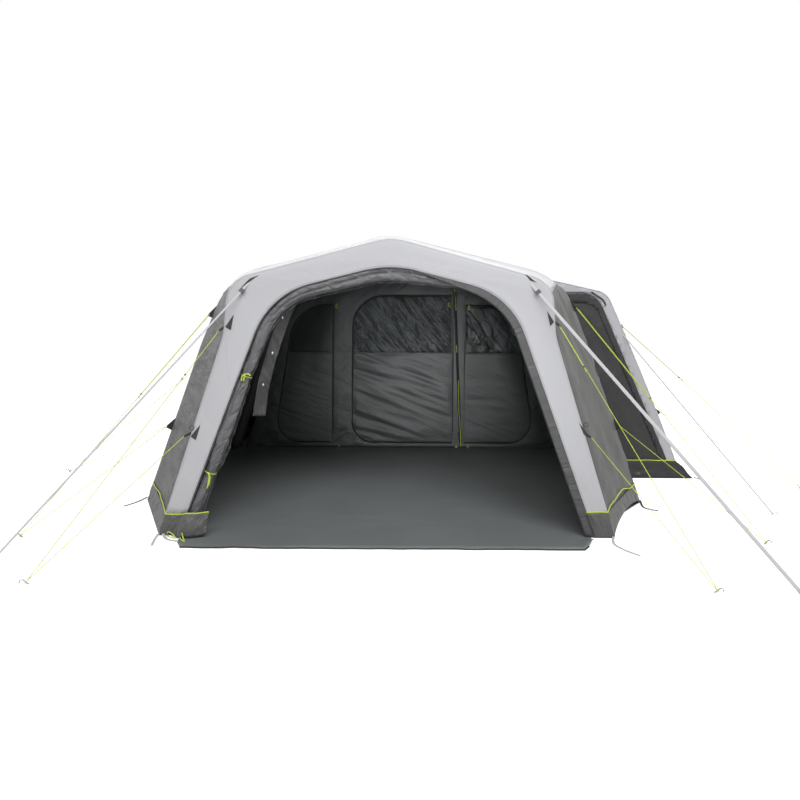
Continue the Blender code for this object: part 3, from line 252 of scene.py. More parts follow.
def smooth_points(points: Sequence[Vector], steps: int) -> Points:
    """Points of a smooth curve through a row of points.

    Args:
        points: the row of points.
        steps: stretches made between two of them.

    Returns:
        The curve's points, those of the row among them.
    """
    spans = [max((b - a).length, 1e-6) for a, b in zip(points, points[1:])]
    ways = [(b - a) / span for a, b, span in zip(points, points[1:], spans)]
    slopes = [ways[0]]
    for before, after, near, far in zip(ways, ways[1:], spans, spans[1:]):
        slopes.append((before * far + after * near) / (far + near))
    slopes.append(ways[-1])
    made = [points[0].copy()]
    for i, span in enumerate(spans):
        for t in (step / steps for step in range(1, steps + 1)):
            t2, t3 = t ** 2, t ** 3
            made.append(points[i] * (2 * t3 - 3 * t2 + 1) + slopes[i] * ((t3 - 2 * t2 + t) * span)
                        + points[i + 1] * (3 * t2 - 2 * t3) + slopes[i + 1] * ((t3 - t2) * span))
    return made


def running_lengths(points: Sequence[Vector]) -> list[float]:
    """The length of a row of points up to each of them.

    Args:
        points: the row of points.

    Returns:
        The lengths, the first of them 0.
    """
    made = [0.0]
    for first, second in zip(points, points[1:]):
        made.append(made[-1] + (second - first).length)
    return made


def even_points(points: Sequence[Vector], count: int) -> Points:
    """Points at even distances along a row of points.

    Args:
        points: the row.
        count: number of points made.

    Returns:
        The even points, both ends among them.
    """
    lengths = running_lengths(points)
    made = []
    k = 0
    for index in range(count):
        target = lengths[-1] * index / (count - 1)
        while k < len(points) - 2 and lengths[k + 1] < target:
            k += 1
        span = max(lengths[k + 1] - lengths[k], 1e-9)
        made.append(points[k].lerp(points[k + 1], (target - lengths[k]) / span))
    return made


def way_at(path: Sequence[Vector], index: int) -> Vector:
    """The way along a path at one of its points."""
    return (path[min(index + 1, len(path) - 1)] - path[max(index - 1, 0)]).normalized()


def share_at(values: Sequence[float], share: float) -> float:
    """A value read from an even row of values, at a share of the row from 0 to 1.

    Args:
        values: the even row of values.
        share: the share of the row.

    Returns:
        The value.
    """
    place = min(max(share, 0.0), 1.0) * (len(values) - 1)
    index = min(int(place), len(values) - 2)
    return values[index] + (values[index + 1] - values[index]) * (place - index)


def eased(value: float) -> float:
    """A value from 0 to 1 eased at both ends, values outside held at them."""
    t = min(max(value, 0.0), 1.0)
    return t * t * (3 - 2 * t)


def at_height(lower: Vector, upper: Vector, height: float) -> Vector:
    """The point of a line in x and z at a height."""
    return lower + (upper - lower) * (height - lower.y) / (upper.y - lower.y)


@dataclass(frozen=True)
class Arch:
    """A cross-section of the tent: straight legs, rounded knees, shoulders and ridge."""

    back: float
    lean: float
    base: float
    knee: Flat
    shoulder: Flat
    apex: float
    radii: tuple[float, float, float] = (0.50, 0.11, 0.45)
    eave: int = 44

    SKIRT, LEG, KNEE, WALL, CORNER, ROOF, CREST = 4, 22, 6, 8, 8, 26, 5
    RIDGE = SKIRT + LEG + KNEE + WALL + CORNER + ROOF + CREST
    LAST = 2 * RIDGE

    def corners(self, inset: float) -> Points:
        """The foot, the knee, the shoulder and the ridge, moved inward.

        Args:
            inset: distance inside the outer face.

        Returns:
            The corners, the first on the ground and the last at x = 0.
        """
        outer = [Vector((self.base, 0)), Vector(self.knee), Vector(self.shoulder), Vector((0, self.apex))]
        lines = [(Vector((0, 0)), Vector((1, 0)))]
        for first, second in zip(outer, outer[1:]):
            along = (second - first).normalized()
            lines.append((first + Vector((-along.y, along.x)) * inset, along))
        lines.append((Vector((0, 0)), Vector((0, 1))))
        return [p + d * ((q - p).cross(e) / d.cross(e)) for (p, d), (q, e) in zip(lines, lines[1:])]

    def half(self, inset: float = 0.0) -> Points:
        """Points of the right half from the ground to the ridge, in the plane's x and z.

        Args:
            inset: distance inside the outer face.

        Returns:
            The points, as many for every arch.
        """
        base, knee, shoulder, apex = self.corners(inset)
        other = Vector((-shoulder.x, shoulder.y))
        knee_radius, shoulder_radius, ridge_radius = (radius - inset for radius in self.radii)
        skirt = base + (knee - base) * SKIRT_HEIGHT / knee.y
        knees = arc_points(base, knee, shoulder, knee_radius, self.KNEE)
        shoulders = arc_points(knee, shoulder, apex, shoulder_radius, self.CORNER)
        ridges = arc_points(shoulder, apex, other, ridge_radius, 2 * self.CREST)[:self.CREST + 1]
        made = [base] + spread(base, skirt, self.SKIRT) + spread(skirt, knees[0], self.LEG) + knees[1:]
        made += spread(knees[-1], shoulders[0], self.WALL) + shoulders[1:]
        return made + spread(shoulders[-1], ridges[0], self.ROOF) + ridges[1:]

    def outline(self, inset: float = 0.0) -> Points:
        """Points from the left foot over the ridge to the right foot."""
        right = self.half(inset)
        return [Vector((-p.x, p.y)) for p in right[:-1]] + right[::-1]

    def place(self, point: Vector, shift: float = 0.0) -> Vector:
        """A point of the outline in space, moved along Y by shift."""
        return Vector((point.x, FRONT_Y + self.back + self.lean * point.y + shift, point.y))

    def row(self, inset: float, first: int, last: int, shift: float = 0.0) -> Points:
        """Points in space from one index of the outline to another."""
        return [self.place(p, shift) for p in self.outline(inset)[first:last + 1]]

    def leg_point(self, side: int, height: float, inset: float = 0.0) -> tuple[Vector, Vector]:
        """A point on a leg at a height below the shoulder.

        Args:
            side: -1 for the left leg, 1 for the right one.
            height: height over the ground.
            inset: distance inside the outer face.

        Returns:
            The point in space, and the leg's direction up.
        """
        foot, knee, shoulder, _ = self.corners(inset)
        first, second = (foot, knee) if height < knee.y else (knee, shoulder)
        x = at_height(first, second, height).x
        up = Vector((side * (second.x - first.x), self.lean * (second.y - first.y), second.y - first.y))
        return self.place(Vector((side * x, height))), up.normalized()


FRONT_ARCH = Arch(0, 0.10, 1.59, (1.20, 1.40), (1.185, 1.815), 2.14, (0.50, 0.22, 0.45), 42)
MIDDLE_ARCH = Arch(MIDDLE_BACK, 0, 2.04, (1.60, 1.30), (1.375, 1.860), 2.198, (0.50, 0.55, 0.45))
INNER_ARCH = Arch(INNER_BACK, 0, 1.99, (1.58, 1.30), (1.380, 1.868), 2.200, (0.50, 0.50, 0.45))
REAR_ARCH = Arch(MAIN_LENGTH, -0.30, 1.75, (1.42, 1.15), (1.22, 1.65), 1.95, (0.50, 0.20, 0.45))
DOORWAY = Arch(0, 0.10, 1.456, (1.12, 1.00), (0.882, 1.695), 1.924, (1.20, 0.56, 0.80))
BEDROOM_FRONT = Arch(BEDROOM_BACK, 0, 1.81, (1.43, 1.28), (1.24, 1.71), 2.03)
BEDROOM_REAR = Arch(BEDROOM_BACK + 1.90, -0.30, 1.52, (1.22, 1.08), (1.03, 1.46), 1.72)
ARCHES = {"front": FRONT_ARCH, "middle": MIDDLE_ARCH, "inner": INNER_ARCH, "rear": REAR_ARCH}


def grid_lengths(points: Grid) -> tuple[list[float], list[float]]:
    """The running lengths along a grid's middle row and down its middle column."""
    return running_lengths(points[len(points) // 2]), running_lengths([row[len(row) // 2] for row in points])


def grid_mesh(points: Grid) -> Mesh:
    """A sheet through a grid of points, with its UV map in metres.

    Args:
        points: rows of points, as many in each row.

    Returns:
        The mesh.
    """
    rows, columns = len(points) - 1, len(points[0]) - 1
    mesh = bmesh.new()
    uv = mesh.loops.layers.uv.new("UVMap")
    bmesh.ops.create_grid(mesh, x_segments=columns, y_segments=rows, size=0.5)
    across, along = grid_lengths(points)
    index = {v: (round((v.co.y + 0.5) * rows), round((v.co.x + 0.5) * columns)) for v in mesh.verts}
    for face in mesh.faces:
        for loop in face.loops:
            i, j = index[loop.vert]
            loop[uv].uv = (across[j], along[i])
    for vert, (i, j) in index.items():
        vert.co = points[i][j]
    return mesh


def plate_mesh(outlines: Sequence[Points], step: float) -> Mesh:
    """A flat sheet in x and y, cut into cells, with its UV map in metres.

    Args:
        outlines: the outer outline, and one for each hole.
        step: size of a cell.

    Returns:
        The mesh, still flat.
    """
    mesh = bmesh.new()
    edges = []
    for outline in outlines:
        verts = [mesh.verts.new((p.x, p.y, 0)) for p in outline]
        edges += [mesh.edges.new(pair) for pair in zip(verts, verts[1:] + verts[:1])]
    bmesh.ops.triangle_fill(mesh, use_beauty=True, use_dissolve=False, edges=edges, normal=(0, 0, 1))
    for axis in (0, 1):
        places = [v.co[axis] for v in mesh.verts]
        low, high = min(places), max(places)
        square = Vector((1 - axis, axis, 0))
        for cell in range(1, int((high - low) / step) + 1):
            geometry = mesh.verts[:] + mesh.edges[:] + mesh.faces[:]
            bmesh.ops.bisect_plane(mesh, geom=geometry, dist=1e-5, plane_co=square * (low + cell * step),
                                   plane_no=square)
    uv = mesh.loops.layers.uv.new("UVMap")
    for face in mesh.faces:
        for loop in face.loops:
            loop[uv].uv = loop.vert.co.xy
    return mesh


def edge_distance(point: Vector, outlines: Sequence[Points]) -> float:
    """Distance from a point to the nearest of some closed outlines, all in one plane.

    Args:
        point: the point.
        outlines: the outlines.

    Returns:
        The distance.
    """
    nearest = math.inf
    for outline in outlines:
        for a, b in zip(outline, outline[1:] + outline[:1]):
            way = b - a
            share = min(max((point - a).dot(way) / max(way.length_squared, 1e-12), 0.0), 1.0)
            nearest = min(nearest, (point - a - way * share).length)
    return nearest


def cord_frame(path: Sequence[Vector]) -> Vector:
    """A direction that no stretch of a path runs along.

    Args:
        path: the points of the path.

    Returns:
        The direction.
    """
    ways = [(b - a).normalized() for a, b in zip(path, path[1:])]
    choices = [Vector((0.12, 0.31, 0.94)), Vector((0.93, 0.2, 0.3)), Vector((0.2, 0.95, -0.25))]
    return min(choices, key=lambda c: max(abs(w.dot(c.normalized())) for w in ways)).normalized()


def tube_mesh(path: Sequence[Vector], reach: Callable[[float, float], float], sides: int,
              facing: Vector | None = None) -> Mesh:
    """A closed tube along a path.

    Args:
        path: the middle line.
        reach: gives the radius at a share of the path and an angle.
        sides: number of sides.
        facing: the way that a section's second direction points, or None where it is carried without a twist.

    Returns:
        The mesh, with a UV map in metres and a face at each end.
    """
    across = cord_frame(path)
    grid = []
    for index, point in enumerate(path):
        along = way_at(path, index)
        across = (along.cross(facing) if facing else across - along * across.dot(along)).normalized()
        outward = across.cross(along).normalized()
        angles = [2 * math.pi * (side % sides) / sides for side in range(sides + 1)]
        share = index / (len(path) - 1)
        grid.append([point + (across * math.cos(a) + outward * math.sin(a)) * reach(share, a)
                     for a in angles])
    mesh = grid_mesh(grid)
    bmesh.ops.remove_doubles(mesh, verts=mesh.verts, dist=1e-6)
    bmesh.ops.holes_fill(mesh, edges=[e for e in mesh.edges if e.is_boundary], sides=0)
    bmesh.ops.recalc_face_normals(mesh, faces=mesh.faces)
    return mesh


def round_tube(path: Sequence[Vector], radius: float, sides: int = 6) -> Mesh:
    """A round tube along a path, with a face at each end."""
    return tube_mesh(path, lambda share, angle: radius, sides)


def ribbon_mesh(path: Sequence[Vector], across: Callable[[int], Vector], width: float,
                columns: int = 2) -> Mesh:
    """A flat band along a path.

    Args:
        path: the middle line.
        across: gives the band's way across at each point.
        width: width of the band.
        columns: stretches across it.

    Returns:
        The mesh, without a thickness yet.
    """
    grid = []
    for index, point in enumerate(path):
        side = across(index).normalized() * width
        grid.append([point + side * (column / columns - 0.5) for column in range(columns + 1)])
    return grid_mesh(grid)


def joined(meshes: Iterable[Mesh]) -> Mesh:
    """One mesh of several, which it uses up.

    Args:
        meshes: the meshes, which are freed.

    Returns:
        One mesh with all their faces.
    """
    whole = bmesh.new()
    whole.loops.layers.uv.new("UVMap")
    for mesh in meshes:
        data = bpy.data.meshes.new("joint")
        mesh.to_mesh(data)
        mesh.free()
        whole.from_mesh(data)
        bpy.data.meshes.remove(data)
    return whole


@dataclass(frozen=True)
class Creases:
    """Folds pressed into a sheet."""

    depth: float
    spacing: Flat
    seed: float
    turn: float = 0.0
    ridge_share: float = 0.5

    def height(self, u: float, v: float) -> float:
        """How far the sheet stands out.

        Args:
            u, v: place on the sheet in metres.

        Returns:
            The height, from about -depth to depth.
        """
        c, s = math.cos(self.turn), math.sin(self.turn)
        a = (u * c + v * s) / self.spacing[0]
        b = (-u * s + v * c) / self.spacing[1]
        swell = noise.noise(Vector((a, b, self.seed)))
        crest = 1 - 2.6 * abs(noise.noise(Vector((a * 1.3 + 4.1, b * 1.3, self.seed + 7.3))))
        return self.depth * (swell * (1 - self.ridge_share) + crest * self.ridge_share)


def pressed(points: Grid, folds: Sequence[Creases], pins: Sequence[float], core: Vector | None = None,
            bulge: Callable[[float, float], float] | None = None) -> Grid:
    """A grid of points with folds pressed into it.

    Args:
        points: rows of points.
        folds: the folds.
        pins: how far in from the first and last column, and the first and last row, the folds fade.
        core: the way outward, or None where outward is away from the tent's middle line.
        bulge: height added at shares of the columns and rows, which isn't faded.

    Returns:
        The moved points.
    """
    rows, columns = len(points), len(points[0])
    across, along = grid_lengths(points)
    made = []
    for i in range(rows):
        row = []
        for j, point in enumerate(points[i]):
            du = points[i][min(j + 1, columns - 1)] - points[i][max(j - 1, 0)]
            dv = points[min(i + 1, rows - 1)][j] - points[max(i - 1, 0)][j]
            normal = du.cross(dv).normalized()
            if normal.dot(core if core is not None else Vector((point.x, 0, point.z - BELLY))) < 0:
                normal = -normal
            rise = sum(fold.height(across[j], along[i]) for fold in folds)
            for reach, pin in zip((across[j], across[-1] - across[j], along[i], along[-1] - along[i]), pins):
                rise *= eased(reach / pin) if pin > 0 else 1.0
            if bulge is not None:
                rise += bulge(across[j] / across[-1], along[i] / along[-1])
            row.append(point + normal * rise)
        made.append(row)
    return made


def lofted(rows: Sequence[Points], steps: Sequence[int], sag: float = 0.0) -> Grid:
    """A grid between rows of points.

    Args:
        rows: the rows, as many points in each.
        steps: stretches between each two of them.
        sag: how far the middle of each span hangs inward.

    Returns:
        The grid.
    """
    made = [list(rows[0])]
    for near, far, count in zip(rows, rows[1:], steps):
        for share in (step / count for step in range(1, count + 1)):
            dip = 4 * share * (1 - share) * sag
            middles = [a.lerp(b, share) for a, b in zip(near, far)]
            made.append([p + Vector((-p.x, 0, BELLY - p.z)).normalized() * dip for p in middles])
    return made


def add_piece(name: str, mesh: Mesh, look: Look, thickness: float = 0.0, smooth: float | None = PIECE_ANGLE,
              body: str = "tent", slot: str = "dark_fabric") -> Piece:
    """Link a mesh as a finished piece on a body.

    Args:
        name: name of the piece.
        mesh: the mesh, which is used up.
        look: its material.
        thickness: wall that a live Solidify gives it, or 0.
        smooth: greatest angle in degrees that is shaded smooth, or None for flat shading.
        body: body that it rides on.
        slot: the record's slot that its finish belongs to.

    Returns:
        The object.
    """
    data = bpy.data.meshes.new(name)
    mesh.to_mesh(data)
    mesh.free()
    data.materials.append(look)
    if smooth is not None:
        data.shade_smooth()
        data.set_sharp_from_angle(angle=math.radians(smooth))
    made = bpy.data.objects.new(name, data)
    bpy.context.scene.collection.objects.link(made)
    if thickness:
        wall = made.modifiers.new("wall", "SOLIDIFY")
        wall.thickness = thickness
        wall.offset = 0.0
        wall.use_even_offset = False
    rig.ride(made, body)
    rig.slot(made, slot)
    log.info("%s: %d faces", name, len(data.polygons))
    return made


def add_sheet(name: str, mesh: Mesh, look: Look, nodes: Sequence[str] = (), held: str = "stretched",
              thickness: float = CLOTH_THICKNESS, body: str = "tent", slot: str = "dark_fabric") -> Piece:
    """Args:
        name: name of the piece.
        mesh: the sheet's middle surface.
        look: its material.
        nodes: solids that it stands for.
        held: how it is held.
        thickness: thickness of the cloth.
        body: body that it rides on.
        slot: the record's slot.

    Returns:
        The object.
    """
    uv = mesh.loops.layers.uv["UVMap"]
    places = [loop[uv].uv for face in mesh.faces for loop in face.loops]
    flat = tuple(max(p[axis] for p in places) - min(p[axis] for p in places) for axis in (0, 1))
    area = sum(face.calc_area() for face in mesh.faces)
    if area < LEAST_FILL * flat[0] * flat[1]:
        flat = (STRIP_WIDTH, area / STRIP_WIDTH)
    elif area > flat[0] * flat[1]:
        flat = (max(flat), area / max(flat))
    box = flat[0] * flat[1]
    made = add_piece(name, mesh, look, thickness, CLOTH_ANGLE, body, slot)
    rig.sheet(made, flat=flat, held=held, area=min(max(area, LEAST_FILL * box), box))
    if nodes:
        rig.replaces(made, *nodes)
    log.info("%s: sheet of %.2f by %.2f m", name, *flat)
    return made


def seam_tube(name: str, path: Sequence[Vector], look: Look, radius: float = 0.0022,
              slot: str = "dark_fabric", body: str = "tent") -> Piece:
    """Add a sewn and taped seam or a piping along a path."""
    return add_piece(name, round_tube(path, radius), look, slot=slot, body=body)


class Weave(Enum):
    """How a fabric's threads stand out."""

    PLAIN = "plain"
    RIPSTOP = "ripstop"
    WEBBING = "webbing"
    SMOOTH = "smooth"


class Graph:
    """A node tree, filled backward from its outputs."""

    def __init__(self, tree: bpy.types.NodeTree) -> None:
        """Take up a tree."""
        self.tree = tree

    def feed(self, node: bpy.types.Node, inputs: dict[str | int, object]) -> None:
        """Give a node's inputs links or plain values.

        Args:
            node: the node.
            inputs: a link or a plain value for each input.
        """
        for key, value in inputs.items():
            if isinstance(value, Socket):
                self.tree.links.new(value, node.inputs[key])
            else:
                node.inputs[key].default_value = value

    def put(self, kind: str, output: str | int, inputs: dict[str | int, object],
            **settings: object) -> Socket:
        """Add a node.

        Args:
            kind: its kind, without ShaderNode.
            output: the output that is wanted.
            inputs: a link or a plain value for each input.
            settings: its other settings.

        Returns:
            The output's socket.
        """
        made = self.tree.nodes.new("ShaderNode" + kind)
        for key, value in settings.items():
            setattr(made, key, value)
        self.feed(made, inputs)
        return made.outputs[output]

    def math(self, operation: str, first: Socket | float, second: Socket | float) -> Socket:
        """Two values joined by an operation."""
        return self.put("Math", "Value", {0: first, 1: second}, operation=operation)

    def mix(self, factor: Socket, first: Colour, second: Colour) -> Socket:
        """A colour between two by a factor."""
        return self.put("Mix", 2, {"Factor": factor, 6: (*first, 1), 7: (*second, 1)}, data_type="RGBA")

    def seen(self, first: Socket, second: Socket, kinds: Sequence[str]) -> Socket:
        """One shader, and another where a ray is of one of some kinds.

        Args:
            first: the shader for all other rays.
            second: the shader for rays of the kinds.
            kinds: names of the kinds.

        Returns:
            The mixed shader.
        """
        seen = self.put("LightPath", kinds[0], {})
        for kind in kinds[1:]:
            seen = self.math("MAXIMUM", seen, self.put("LightPath", kind, {}))
        return self.put("MixShader", "Shader", {"Fac": seen, 1: first, 2: second})


class Surface(Graph):
    """A material's node tree with its shader and the places that its textures are read at."""

    def __init__(self, name: str) -> None:
        """Start a material.

        Args:
            name: name of the material.
        """
        self.look = bpy.data.materials.new(name)
        self.look.use_nodes = True
        super().__init__(self.look.node_tree)
        self.shader = self.tree.nodes["Principled BSDF"]
        self.uv, self.space = (self.put("TexCoord", output, {}) for output in ("UV", "Object"))

    def mapped(self, stretch: Flat, turn: float) -> Socket:
        """The UV place turned and then drawn together, so that what is read from it stretches."""
        inputs = {"Vector": self.uv, "Scale": (*stretch, 1), "Rotation": (0, 0, turn)}
        return self.put("Mapping", "Vector", inputs, vector_type="TEXTURE")

    def noise(self, place: Socket, scale: float, detail: float, rough: float = 0.5,
              bent: float = 0.0) -> Socket:
        """A noise's strength at a place, from 0 to 1."""
        inputs = {"Vector": place, "Scale": scale, "Detail": detail, "Roughness": rough, "Distortion": bent}
        return self.put("TexNoise", "Fac", inputs)

    def ribs(self, place: Socket, pitch: float) -> Socket:
        """The height, from 0 to 1, of even ribs along both directions of a place.

        Args:
            pitch: distance between two ribs in metres.

        Returns:
            The ribs' height from 0 to 1.
        """
        inputs = {"Vector": place, "Scale": 2 * math.pi / 20 / pitch}
        waves = (self.put("TexWave", "Fac", inputs, wave_type="BANDS", wave_profile="SIN",
                          bands_direction=way) for way in "XY")
        return self.math("MAXIMUM", *waves)

    def remap(self, value: Socket, low: float, high: float, start: float = 0.25, end: float = 0.75) -> Socket:
        """A value carried from the span start to end to the span low to high, held at its ends."""
        inputs = {"Value": value, "From Min": start, "From Max": end, "To Min": low, "To Max": high}
        return self.put("MapRange", "Result", inputs)

    def tint(self, value: Socket, colour: Colour, dark: float, light: float, start: float = 0.25,
             end: float = 0.75) -> Socket:
        """A colour from its dark share where a value is at start to its light share where it is at end."""
        shades = (tuple(min(c * share, 1.0) for c in colour) for share in (dark, light))
        return self.mix(self.remap(value, 0.0, 1.0, start, end), *shades)

    def bump(self, height: Socket, distance: float, normal: Socket | None = None) -> Socket:
        """A normal bent by a height from 0 to 1, where 1 stands for a distance in metres."""
        bent = {} if normal is None else {"Normal": normal}
        return self.put("Bump", "Normal", {"Distance": distance, "Strength": 1.0, "Height": height, **bent})

    def done(self, **inputs: object) -> Look:
        """The finished material, its shader's inputs named with _ for a blank."""
        self.feed(self.shader, {key.replace("_", " "): value for key, value in inputs.items()})
        return self.look


@dataclass(frozen=True)
class Cloth:
    """A woven fabric with its threads, its fine creases and its uneven shade."""

    name: str
    colour: Colour
    roughness: float = 0.62
    weave: Weave = Weave.PLAIN
    pitch: float = 0.0016
    thread: float = 0.00012
    scale: float = 7.0
    stretch: Flat = (1.0, 1.0)
    depth: float = 0.006
    turn: float = 0.0
    shade: float = 0.05
    sheen: float = 0.10
    specular: float = 0.4

    def material(self) -> Look:
        """The fabric's material.

        Returns:
            The material.
        """
        graph = Surface(self.name)
        cloudy, fine = graph.noise(graph.space, 1.7, 4.0), graph.noise(graph.uv, 60.0, 2.0)
        tone = graph.math("ADD", graph.math("MULTIPLY", cloudy, 0.7), graph.math("MULTIPLY", fine, 0.3))
        creased = graph.noise(graph.mapped(self.stretch, self.turn), self.scale, 4.0, 0.55, 0.7)
        return graph.done(Base_Color=graph.tint(tone, self.colour, 1 - self.shade, 1 + self.shade),
                          Roughness=graph.remap(fine, self.roughness - 0.05, self.roughness + 0.06),
                          Sheen_Weight=self.sheen, Specular_IOR_Level=self.specular,
                          Normal=self.woven(graph, graph.bump(creased, self.depth)))

    def woven(self, graph: Surface, normal: Socket) -> Socket:
        """Add the threads.

        Args:
            graph: the material's graph.
            normal: the normal so far.

        Returns:
            The normal with the threads in it.
        """
        if self.weave is Weave.SMOOTH:
            return normal
        place = graph.mapped((1, 1), math.pi / 4) if self.weave is Weave.WEBBING else graph.uv
        normal = graph.bump(graph.ribs(place, self.pitch), self.thread, normal)
        if self.weave is Weave.RIPSTOP:
            thick = graph.remap(graph.ribs(place, self.pitch * 6), 0.0, 1.0, 0.9, 1.0)
            normal = graph.bump(thick, self.thread * 2, normal)
        return normal


@dataclass(frozen=True)
class Film:
    """A clear, crinkled window film over a dark blind, its crinkles drawn with painted highlights and painted shade in
    its colour.
    """

    name: str
    scale: float = 22.0
    depth: float = 0.012
    colour: Colour = (0.031, 0.037, 0.040)
    turn: float = 0.64

    def material(self) -> Look:
        """The film's material.

        Returns:
            The material.
        """
        graph = Surface(self.name)
        folds = graph.noise(graph.mapped((1.0, 7.0), self.turn), self.scale, 5.0, 0.62, 0.9)
        sharp = graph.put("TexVoronoi", "Distance", {"Vector": graph.mapped((1.0, 2.6), self.turn),
                                                     "Scale": self.scale * 1.6}, feature="DISTANCE_TO_EDGE")
        # Along the folds the base colour runs from 0.3 to 3 times the film's colour: painted highlights and painted
        # shade on the crinkles.
        return graph.done(Base_Color=graph.tint(folds, self.colour, 0.3, 3.0, 0.44, 0.60),
                          Roughness=graph.remap(folds, 0.32, 0.50),
                          Normal=graph.bump(graph.remap(sharp, 0.0, 1.0, 0.0, 0.12), 0.004,
                                            graph.bump(folds, self.depth)))


@dataclass(frozen=True)
class Plastic:
    """A moulded plastic with a fine grain."""

    name: str
    colour: Colour

    def material(self) -> Look:
        """The plastic's material.

        Returns:
            The material.
        """
        graph = Surface(self.name)
        wear = graph.noise(graph.space, 70.0, 3.0)
        return graph.done(Base_Color=graph.tint(wear, self.colour, 0.8, 1.5),
                          Roughness=graph.remap(wear, 0.30, 0.48),
                          Normal=graph.bump(graph.noise(graph.space, 900.0, 2.0), 0.00008))


@dataclass(frozen=True)
class Steel:
    """Galvanised steel wire."""

    name: str
    colour: Colour = (0.52, 0.53, 0.54)

    def material(self) -> Look:
        """The steel's material.

        Returns:
            The material.
        """
        graph = Surface(self.name)
        spots = graph.noise(graph.space, 120.0, 4.0, 0.6)
        return graph.done(Base_Color=graph.tint(spots, self.colour, 0.7, 1.1), Metallic=1.0,
                          Roughness=graph.remap(spots, 0.28, 0.5), Normal=graph.bump(spots, 0.0002))


FINISHES = {
    "light": Cloth("pale_flysheet", (0.455, 0.456, 0.475), 0.6, scale=3.0, depth=0.010, shade=0.025,
                   sheen=0.08),
    "roof": Cloth("pale_roof", (0.72, 0.721, 0.74), 0.6, scale=4.5, depth=0.020, stretch=(1.0, 2.2),
                  turn=0.7, shade=0.03),
    "brow": Cloth("pale_roof_edge", (0.70, 0.70, 0.715), 0.6, scale=9.0, depth=0.008, shade=0.03),
    "dark": Cloth("dark_flysheet", (0.060, 0.060, 0.061), 0.42, scale=9.0, depth=0.026, stretch=(1.0, 4.0),
                  shade=0.08, specular=0.50),
    # The right front side panel's finish is the dark flysheet's fabric in a lighter colour: painted light for the
    # light that falls on that side.
    "side": Cloth("grey_side_panel", (0.107, 0.106, 0.103), 0.44, scale=5.0, depth=0.016, stretch=(3.0, 1.0),
                  shade=0.07, specular=0.2),
    "skirt": Cloth("skirt_fabric", (0.071, 0.071, 0.070), 0.44, scale=12.0, depth=0.030, stretch=(1.0, 2.0),
                   shade=0.10, specular=0.7),
    "annex": Cloth("annex_door_fabric", (0.032, 0.032, 0.033), 0.46, scale=5.0, depth=0.022,
                   stretch=(1.0, 3.0), turn=-0.8, shade=0.08),
    "roll": Cloth("rolled_door_fabric", (0.115, 0.116, 0.120), 0.44, scale=24.0, depth=0.034,
                  stretch=(1.0, 5.0), turn=0.5, shade=0.14, specular=0.6),
    "inner": Cloth("inner_tent_fabric", (0.058, 0.063, 0.065), 0.44, Weave.RIPSTOP, 0.0011, depth=0.014,
                   stretch=(1.0, 5.0), turn=1.2, shade=0.08, specular=0.6),
    "ground": Cloth("groundsheet_fabric", (0.160, 0.171, 0.174), 0.42, pitch=0.0022, thread=0.0002, scale=1.6,
                    depth=0.016, stretch=(3.0, 1.0), shade=0.12, sheen=0.0, specular=0.5),
    "beam": Cloth("beam_sleeve", (0.060, 0.060, 0.065), 0.55, scale=12.0, depth=0.003, shade=0.06),
    "webbing": Cloth("grey_webbing", (0.50, 0.50, 0.51), 0.7, Weave.SMOOTH, scale=20.0, depth=0.0004,
                     shade=0.08, sheen=0.2),
    "black_webbing": Cloth("black_webbing", (0.030, 0.030, 0.031), 0.7, Weave.WEBBING, 0.0028, 0.0003,
                           scale=20.0, depth=0.0006, shade=0.1, sheen=0.2),
    "lime": Cloth("lime_cord", (0.52, 0.66, 0.055), 0.55, Weave.WEBBING, 0.0020, 0.0003, scale=30.0,
                  depth=0.0004, shade=0.08, sheen=0.2),
    "zip": Cloth("zip_tape", (0.012, 0.012, 0.013), 0.6, pitch=0.0014, thread=0.0002, scale=25.0,
                 depth=0.0006, shade=0.1),
    "film": Film("window_film"),
    "blind": Cloth("window_blind", (0.030, 0.033, 0.034), 0.42, Weave.SMOOTH, scale=2.5, depth=0.008),
    "calm_film": Film("calm_window_film", 7.0, 0.020),
    "plastic": Plastic("black_plastic", (0.014, 0.014, 0.015)),
    "white_plastic": Plastic("pale_plastic", (0.55, 0.56, 0.57)),
    "steel": Steel("galvanised_steel"),
}


class Palette:
    """Every finish of the tent, made once and reached by its short name."""

    def __init__(self) -> None:
        """Make the materials."""
        for name, finish in FINISHES.items():
            setattr(self, name, finish.material())


@dataclass(frozen=True)
class Assembly:
    """A part of the tent that is made from the palette's finishes."""

    palette: Palette


